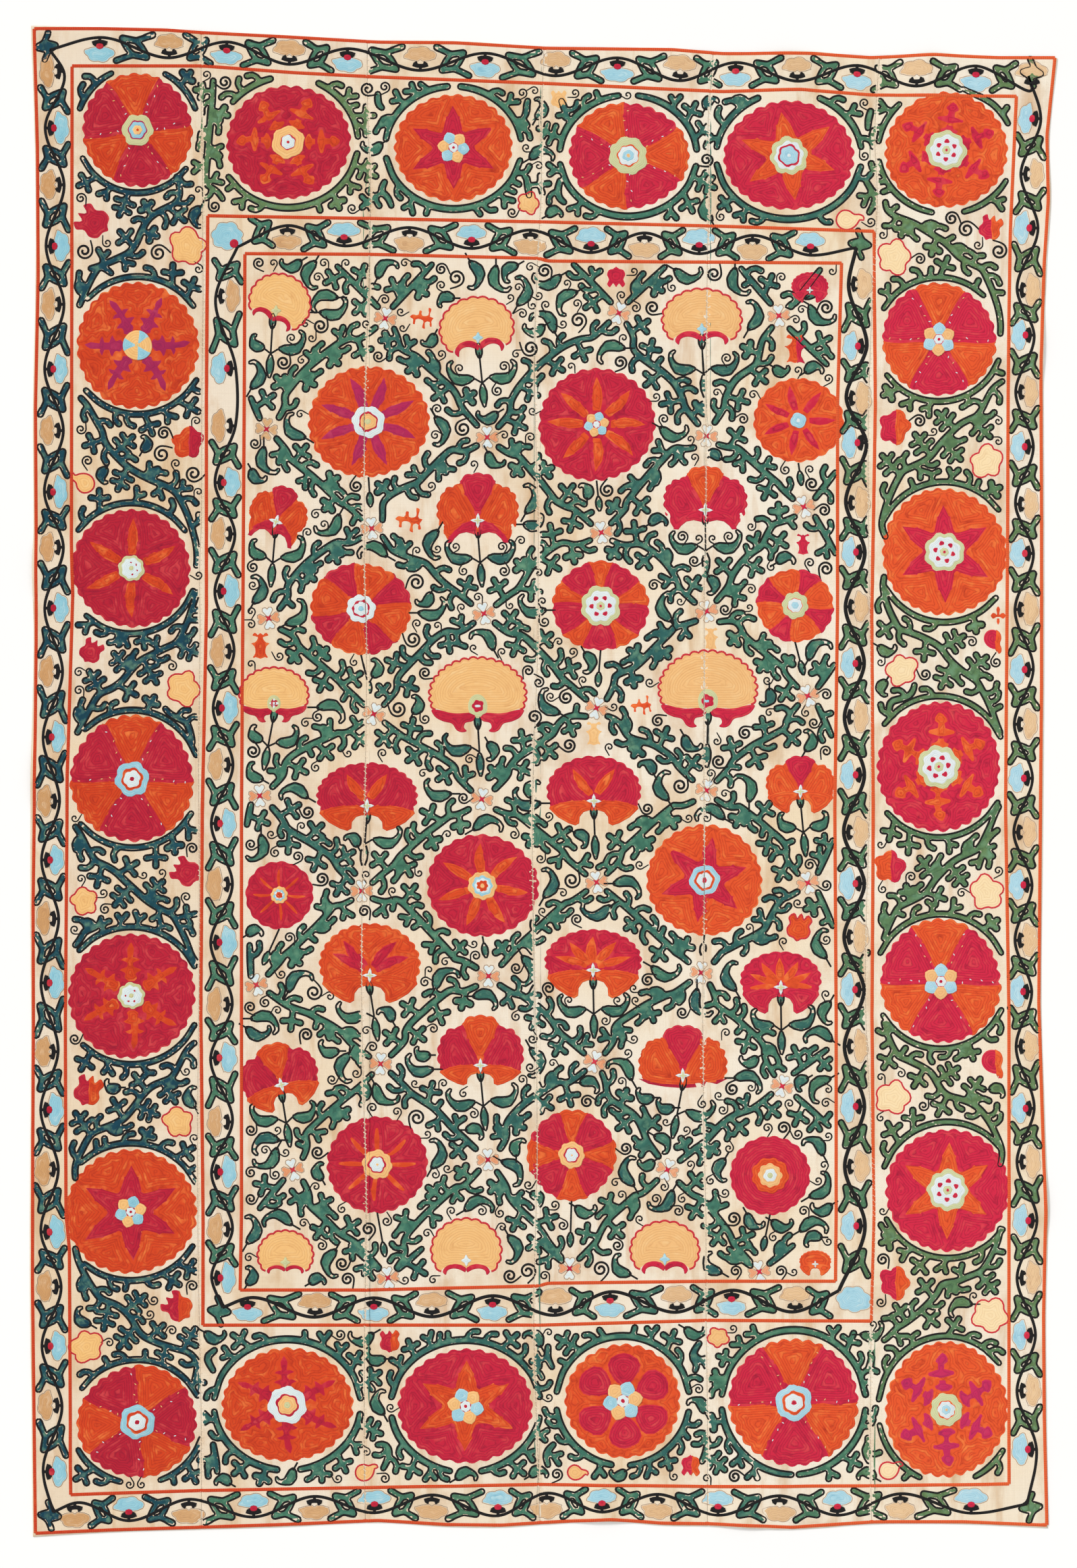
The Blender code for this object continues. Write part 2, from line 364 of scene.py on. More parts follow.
FOLDS = (
    # x, y, half length, half width, turn in degrees, rise
    (-0.68, -1.06, 0.23, 0.055, 38.0, 0.0040), (-0.61, -1.00, 0.19, 0.045, 52.0, 0.0028),
    (-0.35, -1.03, 0.20, 0.050, -24.0, 0.0030), (-0.09, -1.05, 0.22, 0.050, 62.0, 0.0034),
    (0.40, -1.06, 0.25, 0.060, 84.0, 0.0046), (0.66, -1.10, 0.20, 0.055, -40.0, 0.0030),
    (0.40, 1.19, 0.16, 0.070, 80.0, 0.0050), (0.64, 1.18, 0.15, 0.060, 98.0, 0.0052),
    (0.10, -1.22, 0.15, 0.060, 88.0, 0.0050), (0.33, -1.22, 0.13, 0.060, 94.0, 0.0038),
    (-0.84, 0.35, 0.15, 0.060, 8.0, 0.0044), (-0.85, 0.01, 0.16, 0.070, -6.0, 0.0048),
    (0.82, 0.72, 0.20, 0.065, 12.0, 0.0044), (0.83, -0.70, 0.18, 0.060, -10.0, 0.0042),
    (-0.62, 0.80, 0.26, 0.060, 70.0, 0.0026), (0.28, 0.30, 0.34, 0.060, 86.0, 0.0026),
    (-0.20, -0.10, 0.36, 0.060, 64.0, 0.0022),
)
CREASES = (
    # finer creases that only the dressed cloth shows, in the same columns
    (-0.70, -0.60, 0.14, 0.026, 12.0, 0.0009), (-0.74, 0.22, 0.11, 0.024, 96.0, 0.0009),
    (-0.30, 0.66, 0.20, 0.028, 84.0, 0.0010), (-0.28, 0.02, 0.24, 0.026, 95.0, 0.0010),
    (-0.02, -0.55, 0.22, 0.028, 88.0, 0.0010), (0.00, 0.86, 0.12, 0.025, 80.0, 0.0010),
    (0.27, -0.36, 0.26, 0.027, 91.0, 0.0009), (0.30, 0.84, 0.12, 0.024, 70.0, 0.0009),
    (0.58, 0.20, 0.20, 0.028, 86.0, 0.0010), (0.62, -0.52, 0.15, 0.026, 102.0, 0.0010),
    (-0.45, -1.14, 0.10, 0.024, 4.0, 0.0009), (0.16, 1.16, 0.10, 0.024, 12.0, 0.0009),
    (0.78, 0.10, 0.09, 0.024, 78.0, 0.0009), (-0.80, 0.86, 0.08, 0.024, 60.0, 0.0008),
)


def smooth_table(table, end, places):
    """The smooth curve through a table's rows and through nought at 0 and at end."""
    rows = np.array([(0.0, 0.0), *table, (end, 0.0)])
    last = len(rows) - 1
    index = np.clip(np.searchsorted(rows[1:, 0], places), 0, last - 1)
    before, start, stop, after = [
        np.moveaxis(rows[np.clip(index + shift, 0, last)], -1, 0) for shift in (-1, 0, 1, 2)
    ]
    span = stop[0] - start[0]
    slope_in = (stop[1] - before[1]) / (stop[0] - before[0]) * span
    slope_out = (after[1] - start[1]) / (after[0] - start[0]) * span
    t = np.clip((places - start[0]) / span, 0.0, 1.0)
    ends = (2 * t**3 - 3 * t**2 + 1) * start[1] + (3 * t**2 - 2 * t**3) * stop[1]
    return ends + (t**3 - 2 * t**2 + t) * slope_in + (t**3 - t**2) * slope_out


def outline_point(across, up):
    """Points of the cloth from their shares of its width and length."""
    across, up = np.broadcast_arrays(np.asarray(across, float), np.asarray(up, float))
    right_length = LEFT_LENGTH - TOP_DROP - BOTTOM_RISE
    low_x, high_x = across * BOTTOM_WIDTH, across * TOP_WIDTH - BOTTOM_SHIFT
    low_y = across * BOTTOM_RISE
    high_y = LEFT_LENGTH + across * (BOTTOM_RISE + right_length - LEFT_LENGTH)
    x = low_x + (high_x - low_x) * up
    y = low_y + (high_y - low_y) * up
    x = x + (1 - across) * smooth_table(LEFT_EDGE, LEFT_LENGTH, up * LEFT_LENGTH)
    x = x + across * smooth_table(RIGHT_EDGE, right_length, up * right_length)
    y = y + (1 - up) * smooth_table(BOTTOM_EDGE, BOTTOM_WIDTH, across * BOTTOM_WIDTH)
    y = y + up * smooth_table(TOP_EDGE, TOP_WIDTH, across * TOP_WIDTH)
    return np.stack([x, y], -1)


SHARES = np.linspace(0.0, 1.0, 401)
RIM = [outline_point(0.0, SHARES), outline_point(1.0, SHARES)]
RIM += [outline_point(SHARES, 0.0), outline_point(SHARES, 1.0)]
MIDDLE = (np.concatenate(RIM).min(0) + np.concatenate(RIM).max(0)) / 2
LEFT_SIDE, RIGHT_SIDE, BOTTOM_SIDE, TOP_SIDE = [side - MIDDLE for side in RIM]


def seam_share(index, up):
    share, wander = SEAMS[index]
    return share + wander * np.sin(math.tau * SEAM_WAVES * up + index)


SEAM_LINES = [outline_point(seam_share(index, SHARES), SHARES) - MIDDLE for index in range(len(SEAMS))]


def ridges(x, y, table):
    """The highest of a table's soft ridges at each point."""
    height = np.zeros(np.shape(x))
    for fold_x, fold_y, half_length, half_width, turn, rise in table:
        angle = math.radians(turn)
        along = (x - fold_x) * math.cos(angle) + (y - fold_y) * math.sin(angle)
        off = (y - fold_y) * math.cos(angle) - (x - fold_x) * math.sin(angle)
        near = np.clip(1 - (along / half_length) ** 2, 0, 1) * np.clip(1 - (off / half_width) ** 2, 0, 1)
        height = np.maximum(height, rise * near**2)
    return height


def edge_distance(x, y):
    """How far inside the cloth's outline each point lies."""
    gaps = [x - np.interp(y, LEFT_SIDE[:, 1], LEFT_SIDE[:, 0])]
    gaps += [np.interp(y, RIGHT_SIDE[:, 1], RIGHT_SIDE[:, 0]) - x]
    gaps += [y - np.interp(x, BOTTOM_SIDE[:, 0], BOTTOM_SIDE[:, 1])]
    gaps += [np.interp(x, TOP_SIDE[:, 0], TOP_SIDE[:, 1]) - y]
    return np.minimum.reduce(gaps)


def seam_distance(x, y):
    """How far the nearest seam is, to either side."""
    return np.minimum.reduce([abs(x - np.interp(y, line[:, 1], line[:, 0])) for line in SEAM_LINES])


PUCKER_LENGTH, PUCKER_RISE, PUCKER_REACH = 0.041, 0.0005, 0.016


def underside(x, y):
    """How far the cloth's back stands off the floor: ridges, creases and the seams' puckers."""
    seam = np.exp(-((seam_distance(x, y) / PUCKER_REACH) ** 2))
    pucker = (0.5 + 0.5 * np.sin(math.tau * y / PUCKER_LENGTH + 9.0 * np.sin(7.0 * x))) * seam
    return ridges(x, y, FOLDS) + ridges(x, y, CREASES) + PUCKER_RISE * pucker


def thickness(x, y):
    hem_places = (0.0, HEM_WIDTH, HEM_WIDTH + HEM_STEP)
    hem = np.interp(edge_distance(x, y), hem_places, (HEM_EDGE_THICKNESS, HEM_THICKNESS, CLOTH_THICKNESS))
    selvedge = np.interp(seam_distance(x, y), (0.0, SELVEDGE_WIDTH), (SELVEDGE_THICKNESS, CLOTH_THICKNESS))
    return np.minimum(hem, np.where(selvedge < CLOTH_THICKNESS, selvedge, HEM_THICKNESS))


def face_height(points):
    """The height of the cloth's face at points given in the picture's pixels."""
    x, y = to_plan(points).T
    return underside(x, y) + thickness(x, y)


def seam_pixels(y):
    """Where the five seams cross a row of the picture, in pixels."""
    up = (CLOTH_CENTRE[1] - y) * PIXEL
    return [CLOTH_CENTRE[0] + np.interp(up, line[:, 1], line[:, 0]) / PIXEL for line in SEAM_LINES]


print("seams cross the middle row at", [round(float(x)) for x in seam_pixels(1157.5)])

# %% [markdown]
# Each strip is one closed sheet: a face, a back on the floor, and a thin edge all round. The rows and
# columns crowd together at the hem and the selvedges, where the thickness changes, and are even
# between. The strips stay apart by a hair, as the real ones do between their joining stitches.

# %% Six fine strips of cotton
CELL = 0.0108
HEM_STEPS = (0.0, 0.003, HEM_WIDTH, HEM_WIDTH + HEM_STEP)
SELVEDGE_STEPS = (0.0, 0.0015, SELVEDGE_WIDTH)


def new_mesh(name, points, faces, numbers=None):
    """A smooth mesh from points and faces, with named numbers on its points."""
    mesh = bpy.data.meshes.new(name)
    mesh.from_pydata(np.asarray(points).tolist(), [], np.asarray(faces).tolist())
    for label, values in (numbers or {}).items():
        store = mesh.attributes.new(label, "FLOAT", "POINT")
        store.data.foreach_set("value", np.asarray(values, np.float32))
    mesh.shade_smooth()
    return mesh


def new_piece(name, mesh, material, slot):
    """Links a finished mesh as a piece of the cloth, which is one body."""
    mesh.materials.clear()
    mesh.materials.append(material)
    piece = bpy.data.objects.new(name, mesh)
    bpy.context.scene.collection.objects.link(piece)
    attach(piece, "root")
    return piece


def places_between(low, high, low_steps, high_steps, cell):
    """Crowded places at both ends and even ones between."""
    start, stop = low + low_steps[-1], high - high_steps[-1]
    even = np.linspace(start, stop, max(2, round((stop - start) / cell)) + 1)
    ends = [low + step for step in low_steps[:-1]], [high - step for step in high_steps[-2::-1]]
    return np.concatenate([ends[0], even, ends[1]])


def fine_strip(index):
    """One strip's mesh: its face, its back and its rim."""
    up = places_between(0.0, LEFT_LENGTH, HEM_STEPS, HEM_STEPS, CELL) / LEFT_LENGTH
    first, last = index == 0, index == len(SEAMS)
    nominal_low = 0.0 if first else SEAMS[index - 1][0]
    nominal_high = 1.0 if last else SEAMS[index][0]
    low_steps = HEM_STEPS if first else SELVEDGE_STEPS
    high_steps = HEM_STEPS if last else SELVEDGE_STEPS
    span = (nominal_high - nominal_low) * TOP_WIDTH
    across = places_between(0.0, span, low_steps, high_steps, CELL) / span
    half_gap = SEAM_GAP / 2 / TOP_WIDTH
    low = np.zeros(len(up)) if first else seam_share(index - 1, up) + half_gap
    high = np.ones(len(up)) if last else seam_share(index, up) - half_gap
    shares = low[:, None] + (high - low)[:, None] * across
    plan = outline_point(shares, up[:, None]) - MIDDLE
    x, y = plan[..., 0], plan[..., 1]
    back = underside(x, y)
    rows, columns = x.shape
    face_points = np.stack([x, y, back + thickness(x, y)], -1).reshape(-1, 3)
    back_points = np.stack([x, y, back], -1).reshape(-1, 3)
    number = np.arange(rows * columns).reshape(rows, columns)
    a, b, c, d = number[:-1, :-1], number[:-1, 1:], number[1:, 1:], number[1:, :-1]
    squares = np.stack([a, b, c, d], -1).reshape(-1, 4)
    rim = np.concatenate([number[0, :-1], number[:-1, -1], number[-1, :0:-1], number[:0:-1, 0]])
    following = np.roll(rim, -1)
    shift = rows * columns
    walls = np.stack([rim + shift, following + shift, following, rim], -1)
    faces = np.concatenate([squares, squares[:, ::-1] + shift, walls])
    return new_mesh(f"cotton_strip_{index + 1}", np.concatenate([face_points, back_points]), faces)


strips = []
for index in range(len(SEAMS) + 1):
    mesh = fine_strip(index)
    strip = new_piece(f"cotton_strip_{index + 1}", mesh, plain_cotton, "cotton")
    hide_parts(f"strip_{index + 1}")
    strips.append(strip)
print("six strips,", sum(len(strip.data.polygons) for strip in strips), "faces")

# %% [markdown]
# The floor is plain and nearly white, and the light is a bright, even sky with one soft lamp low in
# the upper left, so that the raised silk keeps a little shade on its lower right. Together they give
# a level surface about its own colour.

# %% Floor and light
FLOOR_DROP = 0.0004
floor_mesh = new_mesh("floor", [(-6, -6, -FLOOR_DROP), (6, -6, -FLOOR_DROP), (6, 6, -FLOOR_DROP),
                                (-6, 6, -FLOOR_DROP)], [(0, 1, 2, 3)])
floor = bpy.data.objects.new("floor", floor_mesh)
bpy.context.scene.collection.objects.link(floor)
floor_board = Board("pale_floor", roughness=0.9)
grain = floor_board.noise(floor_board.place, 3.0, 3.0)
floor_colour = floor_board.mix(grain, (0.96, 0.96, 0.96, 1), (0.98, 0.98, 0.98, 1))
floor_mesh.materials.append(floor_board.finish(floor_colour, grain, 0.0002, 0.2))
floor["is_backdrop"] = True

world = bpy.data.worlds.new("studio")
world.use_nodes = True
world.node_tree.nodes["Background"].inputs["Color"].default_value = (1.0, 0.99, 0.975, 1.0)
world.node_tree.nodes["Background"].inputs["Strength"].default_value = 0.74
bpy.context.scene.world = world
lamp_data = bpy.data.lights.new("lamp", "SUN")
lamp_data.energy = 1.55
lamp_data.angle = math.radians(14)
lamp_data.color = (1.0, 0.985, 0.96)
lamp = bpy.data.objects.new("lamp", lamp_data)
lamp.rotation_euler = (math.radians(-38), math.radians(-38), 0)
bpy.context.scene.collection.objects.link(lamp)
bpy.context.scene.view_settings.view_transform = "Standard"

# %% [markdown]
# Two kinds of sewing cover the cloth. Lines are cords: a chain of stitches that stands up as a small
# ridge. Their path is a line of given points, and one tree of Geometry Nodes sweeps a low arch
# along it, so every vine, outline and frame line has the same make at its own width.

# %% A tree that sweeps a cord along lines
CORD_INPUTS = {"Width": "NodeSocketFloat", "Rise": "NodeSocketFloat", "Sides": "NodeSocketInt",
               "Thread": "NodeSocketMaterial"}


def cord_tree():
    tree = bpy.data.node_groups.new("couched_cord", "GeometryNodeTree")
    tree.interface.new_socket("Geometry", in_out="INPUT", socket_type="NodeSocketGeometry")
    for label, kind in CORD_INPUTS.items():
        tree.interface.new_socket(label, in_out="INPUT", socket_type=kind)
    tree.interface.new_socket("Geometry", in_out="OUTPUT", socket_type="NodeSocketGeometry")

    def add(kind, links=None, values=None, settings=None):
        node = tree.nodes.new(kind)
        for name, value in (settings or {}).items():
            setattr(node, name, value)
        for name, value in (values or {}).items():
            node.inputs[name].default_value = value
        for name, source in (links or {}).items():
            tree.links.new(source, node.inputs[name])
        return node.outputs

    given = add("NodeGroupInput")
    path = add("GeometryNodeMeshToCurve", {"Mesh": given["Geometry"]})
    level = add("GeometryNodeSetCurveNormal", {"Curve": path["Curve"]}, settings={"mode": "Z_UP"})
    arch = add("GeometryNodeCurveArc", {"Resolution": given["Sides"]},
               {"Radius": 1.0, "Start Angle": math.pi, "Sweep Angle": math.pi})
    half = add("ShaderNodeMath", {0: given["Width"]}, {1: 0.5}, {"operation": "MULTIPLY"})
    size = add("ShaderNodeCombineXYZ", {"X": half["Value"], "Y": given["Rise"]}, {"Z": 1.0})
    sized = add("GeometryNodeTransform", {"Geometry": arch["Curve"], "Scale": size["Vector"]})
    wide = add("GeometryNodeInputNamedAttribute", None, {"Name": "wide"}, {"data_type": "FLOAT"})
    swept = add("GeometryNodeCurveToMesh", {"Curve": level["Curve"], "Profile Curve": sized["Geometry"],
                                            "Scale": wide["Attribute"]})
    real = add("GeometryNodeRealizeInstances", {"Geometry": swept["Mesh"]})
    done = add("GeometryNodeSetMaterial", {"Geometry": real["Geometry"], "Material": given["Thread"]})
    tree.links.new(done["Geometry"], tree.nodes.new("NodeGroupOutput").inputs["Geometry"])
    return tree


CORD = cord_tree()


def run_tree(name, mesh, tree, values):
    """Runs a tree on a mesh and returns the plain mesh that comes out of it."""
    holder = bpy.data.objects.new(name, mesh)
    bpy.context.scene.collection.objects.link(holder)
    modifier = holder.modifiers.new("tree", "NODES")
    modifier.node_group = tree
    for item in tree.interface.items_tree:
        if item.in_out == "INPUT" and item.name in values:
            modifier[item.identifier] = values[item.name]
    graph = bpy.context.evaluated_depsgraph_get()
    result = bpy.data.meshes.new_from_object(holder.evaluated_get(graph), depsgraph=graph)
    bpy.data.objects.remove(holder)
    bpy.data.meshes.remove(mesh)
    result.name = name
    result.shade_smooth()
    return result


def smooth_line(points, step=3.0, closed=False):
    """An even line of points along the smooth curve through a few given ones."""
    points = np.asarray(points, float)
    if closed:
        points = np.concatenate([points[-1:], points, points[:2]])
    steps = np.hypot(*np.diff(points, axis=0).T)
    place = np.concatenate([[0.0], np.cumsum(steps)])
    slope = np.gradient(points, place, axis=0) if len(points) > 2 else np.repeat(
        (points[1:] - points[:1]) / steps[0], 2, axis=0)
    first, last = (place[1], place[-2]) if closed else (place[0], place[-1])
    count = max(2, int(round((last - first) / step)) + 1)
    wanted = np.linspace(first, last, count)[: -1 if closed else None]
    index = np.clip(np.searchsorted(place, wanted, side="right") - 1, 0, len(steps) - 1)
    span = steps[index][:, None]
    t = (wanted - place[index])[:, None] / span
    line = (2 * t**3 - 3 * t**2 + 1) * points[index] + (3 * t**2 - 2 * t**3) * points[index + 1]
    return line + (t**3 - 2 * t**2 + t) * slope[index] * span + (t**3 - t**2) * slope[index + 1] * span


SINK = 0.15


def cords(name, lines, width, rise, thread, slot, level=0.0, sides=3):
    """One piece of cords: lines of (points, closed, width share), width in pixels, rise and level in mm."""
    points, edges, along, wide = [], [], [], []
    for line, closed, share in lines:
        start, count = len(points), len(line)
        points.extend(line)
        edges.extend((start + i, start + i + 1) for i in range(count - 1))
        if closed:
            edges.append((start + count - 1, start))
        steps = np.hypot(*np.diff(line, axis=0).T) * PIXEL
        along.extend(np.concatenate([[0.0], np.cumsum(steps)]))
        wide.extend(np.broadcast_to(share, count))
    plan = to_plan(points)
    height = face_height(points) + (level - SINK) * MILLIMETRE
    mesh = bpy.data.meshes.new(name + "_path")
    mesh.from_pydata(np.column_stack([plan, height]).tolist(), edges, [])
    for label, values in (("along", along), ("wide", wide)):
        store = mesh.attributes.new(label, "FLOAT", "POINT")
        store.data.foreach_set("value", np.asarray(values, np.float32))
    values = {"Width": width * PIXEL, "Rise": (rise + SINK) * MILLIMETRE, "Sides": sides, "Thread": thread}
    piece = new_piece(name, run_tree(name, mesh, CORD, values), thread, slot)
    print(name, len(lines), "lines,", len(piece.data.polygons), "faces")


# %% [markdown]
# Threads for cords need their own finish. Each cord carries how far along it a point lies, and the
# material paints shade into the gap and dips once a stitch, which reads as chain stitch close to and
# as a firm line from a step away.

# %% Thread for cords
STITCH = 3.1 * MILLIMETRE


def thread(name, left_dye, right_dye, painted_shade_dye, light_dye, worn_share=0.25):
    board = Board(name, roughness=0.66, sheen=0.15)
    along = board.own("along")
    turn = (along / STITCH).part()
    gap = ((turn - 0.5).size() * 2.0) ** 5.0
    fibre = board.noise(board.place, 900.0, 2.0)
    worn = board.noise(board.place, 34.0, 4.0, 0.65)
    colour = board.mix(board.x.held(-0.7, 0.75), left_dye, right_dye)
    colour = board.mix(fibre.held(0.35, 0.7) * 0.45, colour, light_dye)
    # painted shade in the gap between chain links, once a stitch
    colour = board.mix(gap * 0.55, colour, painted_shade_dye)
    colour = board.mix(worn.held(0.6, 0.78) * worn_share, colour, light_dye)
    return board.finish(colour, (1.0 - gap) * 0.8 + fibre * 0.4, 0.0005, 0.8)


# the third colour of each thread is the painted shade between its links
black_thread = thread("thread_black", dye(18, 18, 22), dye(24, 24, 24), dye(8, 8, 10), dye(54, 52, 50))
red_thread = thread("thread_red", dye(198, 48, 24), dye(228, 92, 48), dye(158, 32, 20), dye(232, 120, 66))
crimson_thread = thread("thread_crimson", dye(192, 36, 52), dye(214, 52, 66), dye(150, 24, 46),
                        dye(222, 84, 80))
brown_thread = thread("thread_brown", dye(150, 124, 104), dye(192, 160, 134), dye(120, 96, 86),
                      dye(206, 186, 160))
cream_thread = thread("thread_cream", dye(236, 212, 180), dye(244, 224, 196), dye(204, 178, 148),
                      dye(250, 238, 220))

# %% [markdown]
# Four frames of red cord divide the cloth: round the outside, inside the outer band of small
# flowers, outside the inner band, and round the field. Each side is a line of given points,
# because strip by strip the frames wander by a few pixels, as the cloth was sewn together after it
# was drawn.

# %% Red frame lines
FRAMES = {
    # side: the places along it, and the line's own place there, from the outside inwards
    "left": (
        ((43, 51), (221, 56), (413, 57), (604, 53), (776, 54), (954, 54), (1148, 52), (1342, 49.5),
         (1520, 50), (1701, 49), (1903, 48.6), (2104, 51), (2271, 53)),
        ((99, 107), (800, 106), (881, 108), (1148, 100), (1520, 97), (1800, 98), (1850, 103), (2214, 105)),
        ((320, 308), (600, 306), (906, 306), (1200, 300), (1506, 298), (1800, 301), (1963, 301)),
        ((377, 363), (600, 362), (906, 360), (1200, 358), (1800, 358), (1911, 356)),
    ),
    "right": (
        ((86, 1563), (201, 1551), (296, 1553), (390, 1547), (532, 1542), (768, 1543), (1016, 1543),
         (1252, 1541), (1488, 1539), (1649, 1544), (1798, 1549), (1948, 1546), (2097, 1547), (2259, 1551)),
        ((143, 1506), (343, 1497), (532, 1494), (800, 1493), (1200, 1490), (1500, 1495), (2198, 1495)),
        ((343, 1295), (600, 1297), (904, 1292), (1200, 1294), (1505, 1292), (1799, 1295), (1957, 1291)),
        ((390, 1247), (600, 1241), (904, 1241), (1200, 1237), (1505, 1239), (1799, 1239), (1898, 1238)),
    ),
    "top": (
        ((51, 43), (150, 43), (246, 45), (300, 49), (420, 55), (560, 63), (675, 64), (810, 72), (900, 73),
         (996, 74), (1070, 80), (1205, 80), (1291, 86), (1384, 82), (1480, 86), (1563, 86)),
        ((107, 98), (300, 98), (436, 108), (550, 114), (810, 124), (1070, 136), (1188, 133), (1291, 141),
         (1506, 143)),
        ((308, 320), (548, 324), (800, 329), (1054, 335), (1295, 343)),
        ((363, 376), (548, 377), (800, 383), (810, 387), (1247, 390)),
    ),
    "bottom": (
        ((53, 2271), (165, 2266), (297, 2262), (420, 2258), (560, 2252), (662, 2258), (743, 2259),
         (804, 2255), (905, 2250), (980, 2256), (1060, 2257), (1174, 2262), (1296, 2254), (1429, 2254),
         (1551, 2259)),
        ((105, 2214), (297, 2208), (800, 2199), (1049, 2202), (1297, 2201), (1495, 2198)),
        ((301, 1963), (800, 1963), (1049, 1956), (1291, 1957)),
        ((356, 1911), (543, 1911), (800, 1905), (810, 1901), (1049, 1898), (1238, 1898)),
    ),
}
ALONG_Y = ("left", "right")


def frame_place(side, number, along):
    """The place of a frame line across its side, at places along the side."""
    places, values = np.array(FRAMES[side][number]).T
    return np.interp(along, places, values)


LINE_STEP = 4.0


def frame_line(side, number):
    """One side of a frame: straight between its places, with the corners rubbed off."""
    low, high = FRAMES[side][number][0][0], FRAMES[side][number][-1][0]
    along = np.linspace(low, high, round((high - low) / LINE_STEP))
    across = frame_place(side, number, along)
    across[1:-1] = (across[:-2] + across[1:-1] + across[2:]) / 3
    return np.column_stack([across, along] if side in ALONG_Y else [along, across])


FRAME_WIDTH = 5.4
frame_lines = [(frame_line(side, number), False, 1.0) for side in FRAMES for number in range(4)]
cords("red_frame_lines", frame_lines, FRAME_WIDTH, 0.8, red_thread, "silk_orange", sides=5)

# %% [markdown]
# Everything else is a patch: a closed outline filled with rows of silk. A patch is made as a thin
# cushion. Its outline is sunk in the cloth, its middle stands up less than a millimetre, and the
# distance from the outline is kept on every point so that the silk can draw its rows. Where one of
# the five seams crosses a patch, the patch is split by a slot, as the real flowers are.

# %% Patches of silk
CROWN = 0.5
CROWN_REACH = 5.0
LEVEL = 0.32
SLOT = 0.6
SLIVER = 1e-12
NEARLY_NOUGHT = 1e-9
RING_INSET, RING_CLEARANCE = 0.38, 0.3
sewn = {name: [] for name in SILKS}


def outline_gap(points, outline):
    """The least distance from each point to a closed outline."""
    step = np.roll(outline, -1, 0) - outline
    length = np.maximum((step**2).sum(1), NEARLY_NOUGHT)
    offset = points[:, None] - outline
    share = np.clip((offset * step).sum(2) / length, 0, 1)
    return np.sqrt(((offset - share[..., None] * step) ** 2).sum(2)).min(1)


def within(points, outline):
    """Which points lie inside a closed outline."""
    start, stop = outline, np.roll(outline, -1, 0)
    x, y = points[:, :1], points[:, 1:]
    spans = (start[:, 1] > y) != (stop[:, 1] > y)
    rise = np.where(stop[:, 1] == start[:, 1], NEARLY_NOUGHT, stop[:, 1] - start[:, 1])
    cross = start[:, 0] + (y - start[:, 1]) / rise * (stop[:, 0] - start[:, 0])
    return (spans & (x < cross)).sum(1) % 2 == 1


def triangles(points, edges):
    """A plain triangle mesh through points that keeps the given edges."""
    found = geometry.delaunay_2d_cdt([Vector(p) for p in points], edges, [], 0, 1e-3, False)
    return np.array([tuple(v) for v in found[0]]), np.array(found[2])


def hexagonal(low, high, step):
    """Evenly spread points over a box."""
    rows = np.arange(low[1] + step / 2, high[1], step * 0.866)
    lines = [np.arange(low[0] + step * (0.5 if i % 2 else 1.0), high[0], step) for i in range(len(rows))]
    return np.array([(x, y) for line, y in zip(lines, rows) for x in line]).reshape(-1, 2)


def seam_slots(low, high):
    """The sides of the slots that seams cut through a box, as points and edges."""
    points, edges = [], []
    lines = np.array(seam_pixels(np.array([low[1], high[1]])))
    for line in lines:
        if low[0] < line.mean() < high[0]:
            places = np.linspace(low[1] - 3, high[1] + 3, max(2, int((high[1] - low[1]) / 12)))
            for side in (-SLOT, SLOT):
                x = seam_pixels(places)[int(np.argmin(abs(lines.mean(1) - line.mean())))] + side
                edges += [(len(points) + i, len(points) + i + 1) for i in range(len(places) - 1)]
                points += list(zip(x, places))
    return points, edges


def seam_gap_pixels(points):
    return np.min([abs(points[:, 0] - line) for line in seam_pixels(points[:, 1])], axis=0)


